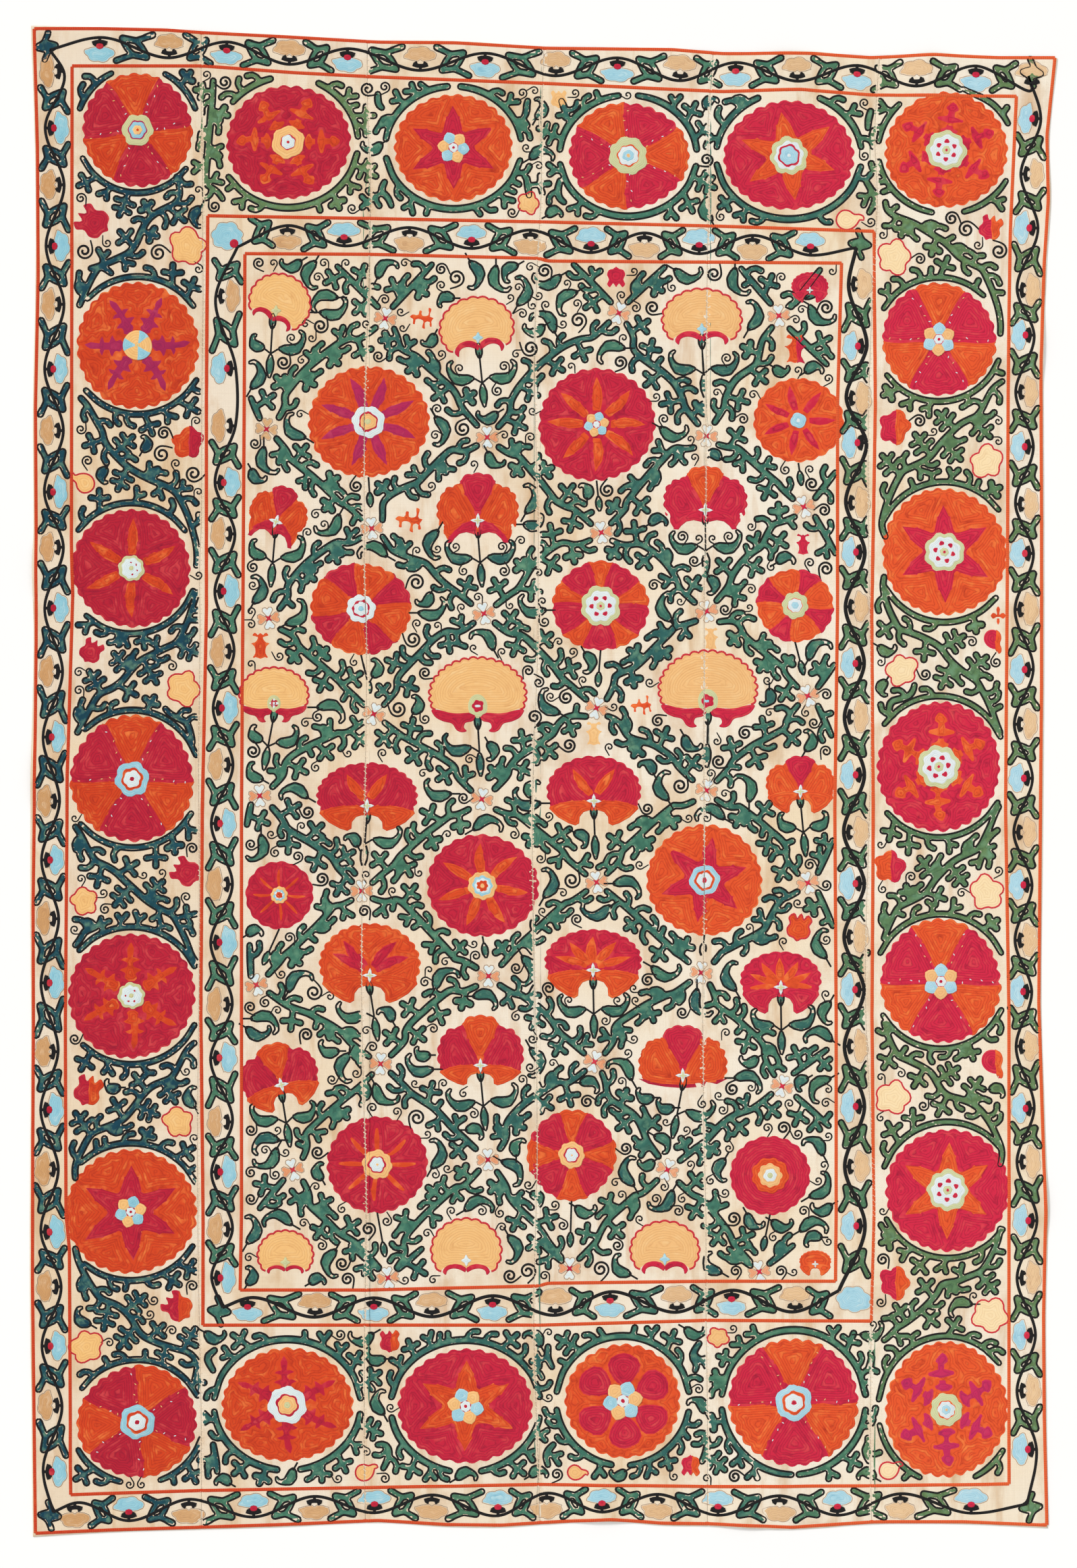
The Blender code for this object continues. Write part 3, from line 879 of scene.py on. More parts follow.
def patch(silk_name, outline, level=0, step=7.0, rows_too=(), tint=None):
    """Sews one patch: an outline in picture pixels, and how many patches it lies on."""
    outline = np.asarray(outline, float)
    low, high = outline.min(0), outline.max(0)
    inner = hexagonal(low, high, step)
    reach = min(CROWN_REACH, step * 0.75)
    middle = inner[within(inner, outline) & (outline_gap(inner, outline) > reach)] if len(inner) else inner
    before, after = np.roll(outline, 1, 0), np.roll(outline, -1, 0)
    normal = (after - before)[:, ::-1] * (1, -1)
    normal /= np.maximum(np.hypot(*normal.T), NEARLY_NOUGHT)[:, None]
    turn = 1.0 if within(outline[:1] + normal[:1] * 0.3, outline)[0] else -1.0
    ring = outline + normal * turn * step * RING_INSET
    ring = ring[within(ring, outline) & (outline_gap(ring, outline) > step * RING_CLEARANCE)]
    points = [*outline, *ring, *middle]
    edges = [(i, (i + 1) % len(outline)) for i in range(len(outline))]
    slot_points, slot_edges = seam_slots(low, high)
    edges += [(a + len(points), b + len(points)) for a, b in slot_edges]
    plan, faces = triangles([*points, *slot_points], edges)
    centres = plan[faces].mean(1)
    keep = within(centres, outline)
    if slot_points:
        keep &= seam_gap_pixels(centres) > SLOT * 0.98
    faces = faces[keep]
    used, faces = np.unique(faces, return_inverse=True)
    plan, faces = plan[used], faces.reshape(-1, 3)
    gap = outline_gap(plan, outline)
    swell = gap if not slot_points else np.minimum(gap, np.maximum(seam_gap_pixels(plan) - SLOT, 0) + 1.0)
    rise = CROWN * (1 - (1 - np.clip(swell / CROWN_REACH, 0, 1)) ** 2)
    base = -SINK if level == 0 else CROWN + LEVEL * (level - 1) - SINK
    rise += base + (LEVEL if level else 0.0) * np.clip(swell / 2.0, 0, 1) - CROWN * (level > 0) * 0.55
    rows = gap.copy()
    for other in rows_too:
        rows = np.minimum(rows, outline_gap(plan, np.asarray(other, float)))
    ground = to_plan(plan)
    height = face_height(plan) + rise * MILLIMETRE
    corner = ground[faces]
    area = np.cross(corner[:, 1] - corner[:, 0], corner[:, 2] - corner[:, 0])
    faces[area < 0] = faces[area < 0][:, ::-1]
    tint = draw.random() if tint is None else tint
    points = np.column_stack([ground, height])
    sewn[silk_name].append((points, faces[abs(area) > SLIVER], rows * PIXEL, np.full(len(points), tint)))


def finish_patches():
    """Joins the patches of each silk into one piece."""
    for silk_name, parts in sewn.items():
        if not parts:
            continue
        starts = np.cumsum([0] + [len(part[0]) for part in parts[:-1]])
        faces = np.concatenate([part[1] + start for part, start in zip(parts, starts)])
        points, rows, tints = [np.concatenate([part[i] for part in parts]) for i in (0, 2, 3)]
        material, slot = SILKS[silk_name]
        mesh = new_mesh(f"{silk_name}_patches", points, faces, {"row": rows, "tint": tints})
        new_piece(f"{silk_name}_patches", mesh, material, slot)
        print(silk_name, len(parts), "patches,", len(faces), "faces")


draw = random.Random(11)

# %% [markdown]
# Flower outlines are all drawn by a few rules: a scalloped ring, a star, a slender petal, a leafy
# arm, a wedge between two arms and a heart. Angles are in degrees, counted the way a clock runs
# backwards, with 90 pointing up the cloth. A little unevenness is added to each, since every one was
# drawn freehand.

# %% Outlines of petals and rings


def spoke(centre, size, angle, distance):
    """Points at shares of an ellipse's size from its centre."""
    turn = np.radians(angle)
    offset = np.stack([np.cos(turn) * distance, -np.sin(turn) * distance], -1)
    return np.asarray(centre) + offset * np.asarray(size)


def ring(centre, size, lobes=0, depth=0.0, turn=0.0, wobble=0.012, count=None):
    """A closed ring with scallops, a little uneven."""
    count = count or max(20, int(lobes * 5))
    angle = np.arange(count) * 360 / count
    phase = [draw.uniform(0, 360) for _ in range(3)]
    radius = 1 + wobble * np.sin(np.radians(2 * angle + phase[0]))
    radius += wobble * 0.7 * np.sin(np.radians(3 * angle + phase[1]))
    if lobes:
        warped = angle + turn + 22.0 / lobes * np.sin(np.radians(3 * angle + phase[2]))
        radius *= 1 - depth * (1 - abs(np.sin(np.radians(warped * lobes / 2))))
    return spoke(centre, size, angle, radius)


def star(centre, size, arms, tip=0.84, valley=0.36, turn=90.0):
    """A star of straight-sided arms, each a little uneven."""
    angles, distances = [], []
    for arm in range(arms):
        place = turn + arm * 360 / arms + draw.uniform(-3, 3)
        reach = tip * draw.uniform(0.94, 1.04)
        half = 180 / arms
        shoulder = valley + (reach - valley) * 0.45
        for share, distance in ((-1.0, valley), (-0.42, shoulder), (0.0, reach), (0.42, shoulder)):
            angles.append(place + share * half)
            distances.append(distance)
    return spoke(centre, size, np.array(angles), np.array(distances))


ARM_SHAPES = {
    # the half width of an arm along its length, as shares of its length
    "petal": ((0.0, 0.10), (0.15, 0.13), (0.4, 0.16), (0.65, 0.13), (0.85, 0.06), (1.0, 0.0)),
    "slim": ((0.0, 0.07), (0.2, 0.085), (0.5, 0.10), (0.75, 0.075), (0.9, 0.035), (1.0, 0.0)),
    "leafy": ((0.0, 0.08), (0.10, 0.19), (0.20, 0.15), (0.27, 0.30), (0.33, 0.22), (0.37, 0.10),
              (0.46, 0.10), (0.52, 0.27), (0.58, 0.19), (0.62, 0.08), (0.72, 0.09), (0.77, 0.18),
              (0.83, 0.09), (0.92, 0.05), (1.0, 0.0)),
    "cross": ((0.0, 0.10), (0.08, 0.24), (0.18, 0.26), (0.24, 0.10), (0.34, 0.09), (0.40, 0.34),
              (0.46, 0.38), (0.52, 0.34), (0.58, 0.11), (0.68, 0.10), (0.74, 0.19), (0.84, 0.17),
              (0.94, 0.09), (1.0, 0.02)),
    "blob": ((0.0, 0.05), (0.14, 0.10), (0.3, 0.26), (0.5, 0.38), (0.68, 0.42), (0.86, 0.34), (0.97, 0.15),
             (1.0, 0.0)),
}


def arm(centre, size, angle, start, stop, shape):
    """One arm that points away from a flower's centre."""
    table = np.array(ARM_SHAPES[shape])
    length = stop - start
    along = start + np.concatenate([table[:, 0], table[-2::-1, 0]]) * length
    off = np.concatenate([table[:, 1], -table[-2::-1, 1]]) * length
    bend = 0.05 * draw.uniform(-1, 1) * np.sin(math.pi * (along - start) / length)
    turn = math.radians(angle)
    x = along * math.cos(turn) - (off + bend) * math.sin(turn)
    y = along * math.sin(turn) + (off + bend) * math.cos(turn)
    return np.asarray(centre) + np.stack([x, -y], -1) * size


FAR_OUT, HALF_WAY = 0.68, 0.36


def wedge(centre, rim, low, high, pinch=0.0):
    """The part of a rim between two angles, closed at the centre."""
    offset = rim - centre
    angle = np.degrees(np.arctan2(-offset[:, 1], offset[:, 0]))
    share = (angle - low) % 360
    chosen = share < (high - low) % 360
    order = np.argsort(share[chosen])
    outer = rim[chosen][order]
    sides = []
    for end, point in ((1, outer[-1]), (0, outer[0])):
        for place in (FAR_OUT, HALF_WAY) if end else (HALF_WAY, FAR_OUT):
            middle = centre + (point - centre) * place
            inward = outer.mean(0) - middle
            sides.append(middle + inward / np.hypot(*inward) * pinch * (1 if place == FAR_OUT else 0.4))
    return np.array([*outer, *sides[:2], centre, *sides[2:]])


def heart(place, angle, size):
    """A small heart that points at an angle."""
    t = np.radians(np.arange(0, 360, 30))
    x = size * (0.35 + 0.55 * np.cos(t) + 0.18 * abs(np.sin(t)))
    y = size * 0.62 * np.sin(t)
    turn = math.radians(angle)
    return np.asarray(place) + np.stack(
        [x * math.cos(turn) - y * math.sin(turn), -x * math.sin(turn) - y * math.cos(turn)], -1)


# %% [markdown]
# A rosette is a scalloped disc. Over it lies a star, a few wedges, or a ring of arms in the second
# colour: petals wide or slim, leafy arms, small crosses on stalks or round buds. In its middle sits a
# small flower of its own, given as rings from the outside inwards and, in some, little hearts round
# the middle.

# %% Rosettes
CENTRES = {
    # name: rings (silk, radius, lobes), then hearts (silk, how many, distance out, size)
    "olive_star": ((("pale_green", 25, 6), ("plum", 17, 6), ("blue", 14.5, 6), ("plum", 9.5, 6),
                    ("straw", 8, 6), ("orange", 4, 0)), ()),
    "ochre_lobes": ((("straw", 24, 6), ("crimson", 13, 6), ("white", 11, 6), ("crimson", 4, 0)), ()),
    "six_hearts": ((("crimson", 21, 6), ("white", 9, 6), ("crimson", 4, 0)),
                   (("straw", 3, 21, 16), ("blue", 3, 21, 16))),
    "green_disc": ((("pale_green", 25, 8), ("orange", 16, 7), ("white", 14, 7), ("blue", 9, 6),
                    ("straw", 4, 0)), ()),
    "blue_eye": ((("pale_green", 26, 8), ("white", 21, 8), ("crimson", 16.5, 6), ("blue", 13.5, 6),
                  ("white", 4, 0)), ()),
    "red_hearts": ((("pale_green", 28, 8), ("white", 23.5, 8), ("pale_green", 8, 6), ("crimson", 4, 5)),
                   (("crimson", 6, 15.5, 8.5),)),
    "wheel": ((("straw", 23, 0), ("pale_green", 4, 0)), ()),
    "blue_ring": ((("white", 25, 7), ("crimson", 16.5, 6), ("straw", 13.5, 6), ("pale_green", 6, 5)), ()),
    "blue_hexagon": ((("blue", 24, 6), ("orange", 17, 6), ("white", 13, 6), ("crimson", 5, 6)), ()),
    "straw_ring": ((("straw", 24, 8), ("crimson", 16, 6), ("white", 13, 6), ("straw", 4.5, 5)), ()),
    "lilac": ((("straw", 22, 9), ("blue", 17, 8), ("white", 13, 8), ("orange", 10, 7), ("straw", 5, 0)), ()),
    "white_star": ((("white", 22, 8), ("crimson", 15, 7), ("white", 12, 6), ("blue", 6, 5)), ()),
    "sunny": ((("orange", 28, 9), ("straw", 20, 8), ("white", 12, 6), ("pale_green", 6, 0)), ()),
    "small_blue": ((("blue", 12, 4), ("white", 5, 4)), ()),
}
DASH = (3.4, 1.5)
DASH_PLACES = (0.35, 0.48, 0.66, 0.84)
SCALLOP_WIDTH, SCALLOP_DEPTH, LEAST_SCALLOPS = 19.5, 0.05, 12
ROSETTE_EASE = 1.03
ARM_REACH = {
    # where each kind of arm starts and stops, as shares of the flower's size
    "petal": (0.2, 0.86), "slim": (0.2, 0.84), "leafy": (0.22, 0.86), "cross": (0.26, 0.84),
    "blob": (0.16, 0.84),
}


def flower_centre(centre, name, scale):
    """The small flower in the middle of a rosette."""
    rings, seeds = CENTRES[name]
    turn = draw.uniform(0, 60)
    for level, (silk_name, radius, lobes) in enumerate(rings):
        size = (radius * scale, radius * scale)
        count = 48 if name == "wheel" else max(24, lobes * 4)
        outline = ring(centre, size, lobes, 0.14 if lobes else 0.0, turn, 0.02, count)
        patch(silk_name, outline, 3 + level, max(3.0, radius * scale * 0.3))
        if name == "wheel" and level == 0:
            for third in range(3):
                patch("blue", wedge(centre, outline, 30 + third * 120, 90 + third * 120), 5, 3.0)
    for index, (silk_name, count, distance, size) in enumerate(seeds):
        for seed in range(count):
            angle = turn + seed * 360 / count + index * 180 / count
            place = spoke(centre, (scale, scale), angle, distance)
            patch(silk_name, heart(place, angle + 180, size * scale), 5, 3.0)


def dashes(centre, size, angle):
    """Short pale stitches across the join between two wedges."""
    for place in DASH_PLACES:
        spot = spoke(centre, size, angle + draw.uniform(-4, 4), place)
        turn = math.radians(draw.uniform(0, 180))
        along = np.array([math.cos(turn), math.sin(turn)])
        across = np.array([-along[1], along[0]])
        corners = [(-1, -0.5), (0, -1), (1, -0.5), (1, 0.5), (0, 1), (-1, 0.5)]
        outline = [spot + along * a * DASH[0] * 0.5 + across * b * DASH[1] * 0.5 for a, b in corners]
        patch("white" if draw.random() < 0.5 else "straw", outline, 3, 3.0)


def rosette(centre, size, design, first, second, middle, turn, middle_scale, arms=6):
    """A scalloped disc in one silk, its design in another, and its own small flower."""
    centre = np.array(centre, float)
    lobes = max(LEAST_SCALLOPS, round(math.tau * sum(size) / 2 / SCALLOP_WIDTH))
    size = (size[0] * ROSETTE_EASE, size[1] * ROSETTE_EASE)
    rim = ring(centre, size, lobes, SCALLOP_DEPTH, draw.uniform(0, 20))
    over = []
    if design == "star":
        over.append(star(centre, size, arms, turn=turn))
    elif design == "wedges":
        for index in range(arms // 2):
            low = turn - 180 / arms + index * 720 / arms
            over.append(wedge(centre, rim, low, low + 360 / arms, pinch=2.0))
    else:
        for index in range(arms):
            angle = turn + index * 360 / arms + draw.uniform(-4, 4)
            over.append(arm(centre, size, angle, *ARM_REACH[design], design))
    patch(first, rim, rows_too=over)
    for outline in over:
        patch(second, outline, 1)
    if design == "wedges" and arms == 6:
        for index in range(arms):
            dashes(centre, size, turn + (index + 0.5) * 360 / arms)
    flower_centre(centre, middle, middle_scale)


BORDER_ROSETTES = (
    # centre, half sizes, design, first silk, second silk, middle, turn, size of the middle
    ((204, 193), (81, 83), "wedges", "crimson", "orange", "olive_star", 96, 0.98),
    ((427, 211), (91, 84), "cross", "crimson", "orange", "ochre_lobes", 62, 1.05),
    ((672, 219), (88, 78), "star", "orange", "crimson", "six_hearts", 90, 1),
    ((931, 231), (89, 77), "wedges", "crimson", "orange", "green_disc", 122, 1.18),
    ((1169, 231), (95, 81), "star", "crimson", "orange", "blue_eye", 98, 1.15),
    ((1402, 223), (91, 84), "cross", "orange", "crimson", "red_hearts", 84, 1.1),
    ((204, 512), (91, 92), "leafy", "orange", "plum", "wheel", 60, 0.95),
    ((195, 842), (87, 87), "petal", "crimson", "orange", "red_hearts", 88, 0.72),
    ((196, 1154), (91, 92), "wedges", "crimson", "orange", "blue_hexagon", 90, 1.12),
    ((195, 1475), (93, 92), "leafy", "crimson", "orange", "red_hearts", 90, 0.74),
    ((194, 1795), (96, 92), "star", "orange", "crimson", "six_hearts", 90, 1),
    ((204, 2106), (88, 82), "wedges", "crimson", "orange", "blue_hexagon", 65, 1.12),
    ((426, 2081), (96, 84), "leafy", "orange", "crimson", "blue_ring", 90, 1.18),
    ((690, 2083), (98, 85), "star", "crimson", "orange", "six_hearts", 90, 1.15),
    ((923, 2075), (86, 83), "blob", "orange", "crimson", "six_hearts", 90, 1.25),
    ((1176, 2077), (94, 94), "wedges", "crimson", "orange", "blue_hexagon", 92, 1.18),
    ((1402, 2088), (91, 99), "cross", "orange", "plum", "green_disc", 90, 1),
    ((1391, 503), (84, 82), "wedges", "crimson", "orange", "six_hearts", 90, 1.05),
    ((1399, 818), (91, 94), "star", "orange", "crimson", "red_hearts", 90, 1.12),
    ((1391, 1136), (91, 95), "cross", "crimson", "orange", "red_hearts", 90, 1.18),
    ((1394, 1454), (89, 90), "wedges", "crimson", "orange", "six_hearts", 90, 1.12),
    ((1404, 1763), (90, 91), "star", "crimson", "orange", "red_hearts", 90, 1.15),
)
FIELD_ROSETTES = (
    # the same columns, then how many arms
    ((546, 625), (89, 82), "petal", "orange", "plum", "blue_ring", 68, 1.0, 8),
    ((884, 629), (86, 83), "petal", "crimson", "orange", "six_hearts", 90, 0.8, 8),
    ((1183, 623), (66, 63), "petal", "orange", "crimson", "small_blue", 102, 1.0, 7),
    ((535, 902), (74, 68), "wedges", "orange", "crimson", "white_star", 118, 1.0, 8),
    ((890, 898), (72, 65), "wedges", "crimson", "orange", "red_hearts", 90, 1.1, 10),
    ((1178, 897), (57, 54), "wedges", "orange", "crimson", "green_disc", 64, 0.82, 8),
    ((414, 1326), (51, 50), "slim", "crimson", "orange", "lilac", 90, 0.6, 8),
    ((715, 1312), (83, 75), "petal", "crimson", "orange", "lilac", 94, 1.0, 7),
    ((1044, 1304), (86, 81), "star", "orange", "crimson", "blue_hexagon", 78, 1.0, 6),
    ((559, 1725), (75, 71), "slim", "crimson", "orange", "straw_ring", 90, 0.95, 8),
    ((847, 1711), (66, 66), "wedges", "crimson", "orange", "straw_ring", 90, 0.85, 8),
    ((1141, 1741), (60, 58), "petal", "crimson", "orange", "sunny", 90, 1.0, 0),
)
for row in BORDER_ROSETTES + FIELD_ROSETTES:
    rosette(*row)
print(len(BORDER_ROSETTES), "border rosettes and", len(FIELD_ROSETTES), "in the field")

# %% [markdown]
# The field's other flowers stand on a stalk and open upwards. A palmette is a scalloped dome with a
# top petal or a few rays in the second silk and two lobes that hook down on either side of the
# stalk. Where it has a top petal, its rim dips on both sides of it. A fan is straw yellow inside a
# crimson edge. Both are drawn round the point where the stalk meets them, with shares of their half
# width and height, and may lean.

# %% Palmettes and fans
edges_to_cord = {"crimson": [], "brown": []}


def standing(base, lean):
    """Turns places beside and above a stalk's end into picture pixels."""
    turn = math.radians(lean)

    def place(beside, above):
        beside, above = np.asarray(beside, float), np.asarray(above, float)
        x = base[0] + beside * math.cos(turn) + above * math.sin(turn)
        y = base[1] - above * math.cos(turn) + beside * math.sin(turn)
        return np.stack([x, y], -1)

    return place


def dome(low, high, lobes, depth):
    """A scalloped arc as shares of a flower's half width and height."""
    angle = np.linspace(low, high, lobes * 5 + 1)
    turn = np.radians((angle - low) / (high - low) * 180 * lobes)
    radius = 1 - depth * (1 - abs(np.sin(turn)))
    return np.cos(np.radians(angle)) * radius, np.sin(np.radians(angle)) * radius


HOOK = ((0.82, -0.10), (0.80, -0.60), (0.72, -0.94), (0.60, -0.95), (0.54, -0.74), (0.42, -0.50),
        (0.26, -0.42), (0.12, -0.50), (0.0, -0.62))
LOBE = ((0.92, -0.22), (0.74, -0.62), (0.52, -0.90), (0.38, -1.0), (0.30, -0.90), (0.29, -0.60),
        (0.21, -0.38), (0.10, -0.30), (0.0, -0.32))
FLAT = ((0.88, -0.2), (0.74, -0.55), (0.40, -0.85), (0.0, -1.0))
LOBE_TOP = ((0.0, 0.04), (0.2, 0.10), (0.45, 0.09), (0.7, 0.04), (0.9, -0.04))
HOOK_TOP = ((0.0, 0.05), (0.16, 0.075), (0.36, 0.02), (0.54, -0.12), (0.66, -0.24))
PETAL_SIDES = ((-0.33, 0.56), (-0.10, 0.22), (0, 0.02), (0.10, 0.22), (0.33, 0.56))
FLAT_TOP = ((0.96, 0.0), (0.5, -0.25), (0.0, -0.40), (-0.5, -0.25), (-0.96, 0.0))
LIFT, FAN_LIFT = 0.26, 0.36
DOME_LOW, CURLS_LOW, SKIRT_LOW = -32, -42, -24
DOME_SCALLOP, DOME_DEPTH = 4.4, 0.045
FAN_SCALLOP, FAN_DEPTH = 3.7, 0.055
NOTCH, NOTCH_PLACE, NOTCH_WIDTH = 0.10, 0.52, 0.15


def palmette(base, half, top, bottom, lean, dome_silk, top_silk, rays, ray_silk, low_silk, foot=LOBE,
             eye=1.0):
    """A dome with a top petal or rays, and a crescent on each side of its stalk."""
    place = standing(base, lean)
    height, drop = base[1] - top, bottom - base[1]
    x, y = dome(DOME_LOW, 180 - DOME_LOW, max(14, round(half / DOME_SCALLOP)), DOME_DEPTH)
    notch = 1 - (NOTCH if top_silk else 0.0) * np.exp(-(((abs(x) - NOTCH_PLACE) / NOTCH_WIDTH) ** 2))
    beside, above = x * half * notch, height * (LIFT + (1 - LIFT) * y) * notch
    rim = place(beside, above)
    foot_x, foot_y = np.array(foot).T
    right = place(foot_x * half, foot_y * drop)[::-1]
    left = place(-foot_x * half, foot_y * drop)
    over = []
    if top_silk:
        chosen = (x < 0.50) & (x > -0.50) & (y > 0.5)
        side_x, side_y = np.array(PETAL_SIDES).T
        over.append((top_silk, np.array([*rim[chosen], *place(side_x * half, side_y * height)])))
    for angle in rays:
        size = (half, height * 0.86)
        over.append((ray_silk, arm(place(0, height * 0.12), size, angle - lean, 0.08, 0.86, "petal")))
    patch(dome_silk, np.array([*rim, *left, *right[1:]]), rows_too=[line for _, line in over])
    for silk_name, line in over:
        patch(silk_name, line, 1)
    if foot is FLAT:
        upper_x, upper_y = np.array(FLAT_TOP).T
        low = np.array([*place(upper_x * half, upper_y * drop), *left, *right[1:]])
        patch(low_silk, low, 1, 6.0)
    else:
        for side in (-1, 1):
            wide = foot is LOBE
            upper_x, upper_y = np.array(LOBE_TOP if wide else HOOK_TOP).T
            lower = (left if side < 0 else right[::-1])[0 if wide else 2:]
            patch(low_silk, np.array([*place(side * upper_x * half, upper_y * height), *lower]), 1, 5.0)
    star_place = place(0, 0.06 * height)
    for level, (silk_name, size) in enumerate((("white", 11 * eye), ("pale_green", 6.5 * eye))):
        patch(silk_name, star(star_place, (size, size), 4, 1.0, 0.34, 90 - lean), 3 + level, 3.0)


PALMETTES = (
    # base, half width, top, bottom, lean, dome, top petal, rays, ray silk, lower lobes
    ((408, 776), 47, 718, 806, 18, "orange", "crimson", (), None, "crimson", HOOK),
    ((708, 776), 64, 700, 806, 0, "orange", "crimson", (), None, "crimson", HOOK),
    ((1045, 760), 66, 690, 786, 0, "crimson", "orange", (), None, "crimson", HOOK),
    ((544, 1198), 77, 1128, 1231, 0, "crimson", None, (62, 118), "orange", "orange"),
    ((880, 1191), 72, 1118, 1223, 0, "crimson", None, (58, 122), "orange", "orange"),
    ((1186, 1176), 53, 1119, 1205, 0, "orange", "crimson", (), None, "orange"),
    ((548, 1450), 77, 1366, 1486, 0, "orange", None, (22, 50, 128, 152), "crimson", "orange"),
    ((879, 1441), 74, 1375, 1479, 0, "crimson", None, (20, 55, 90, 125, 160), "orange", "orange"),
    ((1157, 1466), 62, 1408, 1502, 0, "crimson", None, (-6, 28, 60, 92, 124, 156, 186), "orange", "crimson"),
    ((418, 1611), 60, 1543, 1644, -14, "crimson", "orange", (), None, "orange"),
    ((712, 1583), 66, 1503, 1608, 0, "crimson", "orange", (), None, "orange"),
    ((1200, 432), 29, 402, 449, 0, "crimson", None, (), None, "crimson", LOBE, 0.5),
    ((1208, 1874), 25, 1851, 1890, 0, "orange", None, (), None, "orange", LOBE, 0.5),
)
for row in PALMETTES:
    palmette(*row)
FLAT_PALMETTE = ((1012, 1598), 69, 1518, 1612, 0, "orange", "crimson", (), None, "crimson", FLAT)
palmette(*FLAT_PALMETTE)

CURL = (
    # an eyebrow under the fan, from the stalk outwards, as shares of the half width and the drop
    (0.0, 0.05), (0.10, 0.36), (0.28, 0.50), (0.46, 0.42), (0.60, 0.14), (0.66, -0.28), (0.57, -0.55),
    (0.53, -0.16), (0.42, 0.02), (0.26, 0.02), (0.12, -0.14), (0.03, -0.30),
)
SKIRT = (
    (0.0, 0.10), (0.45, 0.16), (0.94, 0.28), (0.86, -0.06), (0.70, -0.30), (0.52, -0.44), (0.42, -0.82),
    (0.34, -0.92), (0.22, -0.84), (0.28, -0.66), (0.26, -0.42), (0.10, -0.28),
)


def fan(base, half, top, bottom, lean, kind, eye):
    """A straw-yellow fan with a crimson edge and crimson curls or a crimson skirt."""
    place = standing(base, lean)
    height, drop = base[1] - top, bottom - base[1]
    low = CURLS_LOW if kind == "curls" else SKIRT_LOW
    x, y = dome(low, 180 - low, max(15, round(half / FAN_SCALLOP)), FAN_DEPTH)
    rim = place(x * half, height * (FAN_LIFT + (1 - FAN_LIFT) * y))
    shape = CURL if kind == "curls" else SKIRT
    foot_x = np.array([-0.62, -0.40, -0.2, 0.0, 0.2, 0.40, 0.62])
    foot_y = np.array([0.02, 0.20, 0.20, 0.0, 0.20, 0.20, 0.02]) if kind == "curls" else np.full(7, 0.12)
    patch("straw", np.array([*rim, *place(foot_x * half, foot_y * drop)]), step=8.0)
    edges_to_cord["crimson"].append((rim, False, 1.0))
    for side in (-1, 1):
        low_x, low_y = np.array(shape).T
        patch("crimson", smooth_line(place(side * low_x * half, low_y * drop), 3.0, True), 1, 4.5)
    middle = place(0, 0.17 * height)
    if kind == "skirt":
        patch("pale_green", ring(middle, (half * 0.21, half * 0.25)), 1, 5.0)
        patch("crimson", ring(middle, (half * 0.15, half * 0.16), 5, 0.2), 2, 3.5)
    patch(eye, star(middle, (8, 9), 4, 1.0, 0.5), 3, 3.0)


FANS = (
    # base, half width, top, bottom, lean, kind, eye
    ((404, 471), 47, 403, 489, 26, "curls", "pale_green"),
    ((710, 513), 56, 439, 535, -8, "curls", "blue"),
    ((1040, 500), 60, 427, 520, 0, "curls", "blue"),
    ((406, 1053), 52, 988, 1072, 0, "skirt", "white"),
    ((708, 1061), 73, 973, 1087, 0, "skirt", "white"),
    ((1049, 1054), 74, 963, 1080, 0, "skirt", "blue"),
    ((423, 1880), 42, 1822, 1893, 0, "curls", "pale_green"),
    ((691, 1880), 53, 1804, 1896, 0, "curls", "white"),
    ((985, 1877), 52, 1808, 1896, 0, "curls", "blue"),
)
for row in FANS:
    fan(*row)
print(len(PALMETTES) + 1, "palmettes and", len(FANS), "fans")

# %% [markdown]
# Where the branches of the field meet stands a small flower of four heart-shaped petals, two warm
# and two pale. Between the big flowers come little ones: buds, tulips, crosses and combs in red,
# orange and yellow.

# %% Knot flowers and little flowers
ODD_KNOTS = (
    (571, 472), (917, 464), (1154, 468), (551, 783), (891, 789), (1191, 751), (554, 1058), (884, 1049),
    (1197, 1031), (536, 1320), (884, 1307), (1197, 1308), (564, 1576), (881, 1573), (1159, 1609),
    (575, 1893), (844, 1879), (1125, 1884),
)
EVEN_KNOTS = (
    (395, 636), (722, 648), (1047, 646), (398, 916), (717, 909), (1047, 906), (385, 1179), (714, 1184),
    (1047, 1171), (380, 1459), (724, 1446), (1039, 1441), (434, 1733), (723, 1718), (989, 1733),
)
HEART_PETAL = ((0.0, 0.0), (0.35, 0.24), (0.72, 0.50), (0.98, 0.42), (1.02, 0.16), (0.86, 0.0),
               (1.02, -0.16), (0.98, -0.42), (0.72, -0.50), (0.35, -0.24))


PETAL_LENGTH = 16.0


def knot_flower(place, petal_silks=("apricot", "white")):
    """Four heart-shaped petals, two in each silk, round a small crimson star."""
    turn = draw.uniform(-20, 20)
    for quarter in range(4):
        angle = math.radians(turn + 90 * quarter)
        along, off = np.array(HEART_PETAL).T * PETAL_LENGTH
        x = along * math.cos(angle) - off * math.sin(angle)
        y = along * math.sin(angle) + off * math.cos(angle)
        outline = np.array(place) + np.stack([x, -y], -1)
        patch(petal_silks[quarter % 2], outline, step=4.0, tint=0.9)
        edges_to_cord["brown"].append((outline, True, 1.0))
    patch("crimson", star(place, (6, 6), 4, 1.0, 0.4, turn + 45), 2, 3.0)


for place in ODD_KNOTS + EVEN_KNOTS[1:]:
    knot_flower(place)
knot_flower(EVEN_KNOTS[0], ("tan", "tan"))


def mirrored(half):
    """A whole outline from its right half."""
    return (*half, *((-x, y) for x, y in half[-2:0:-1]))


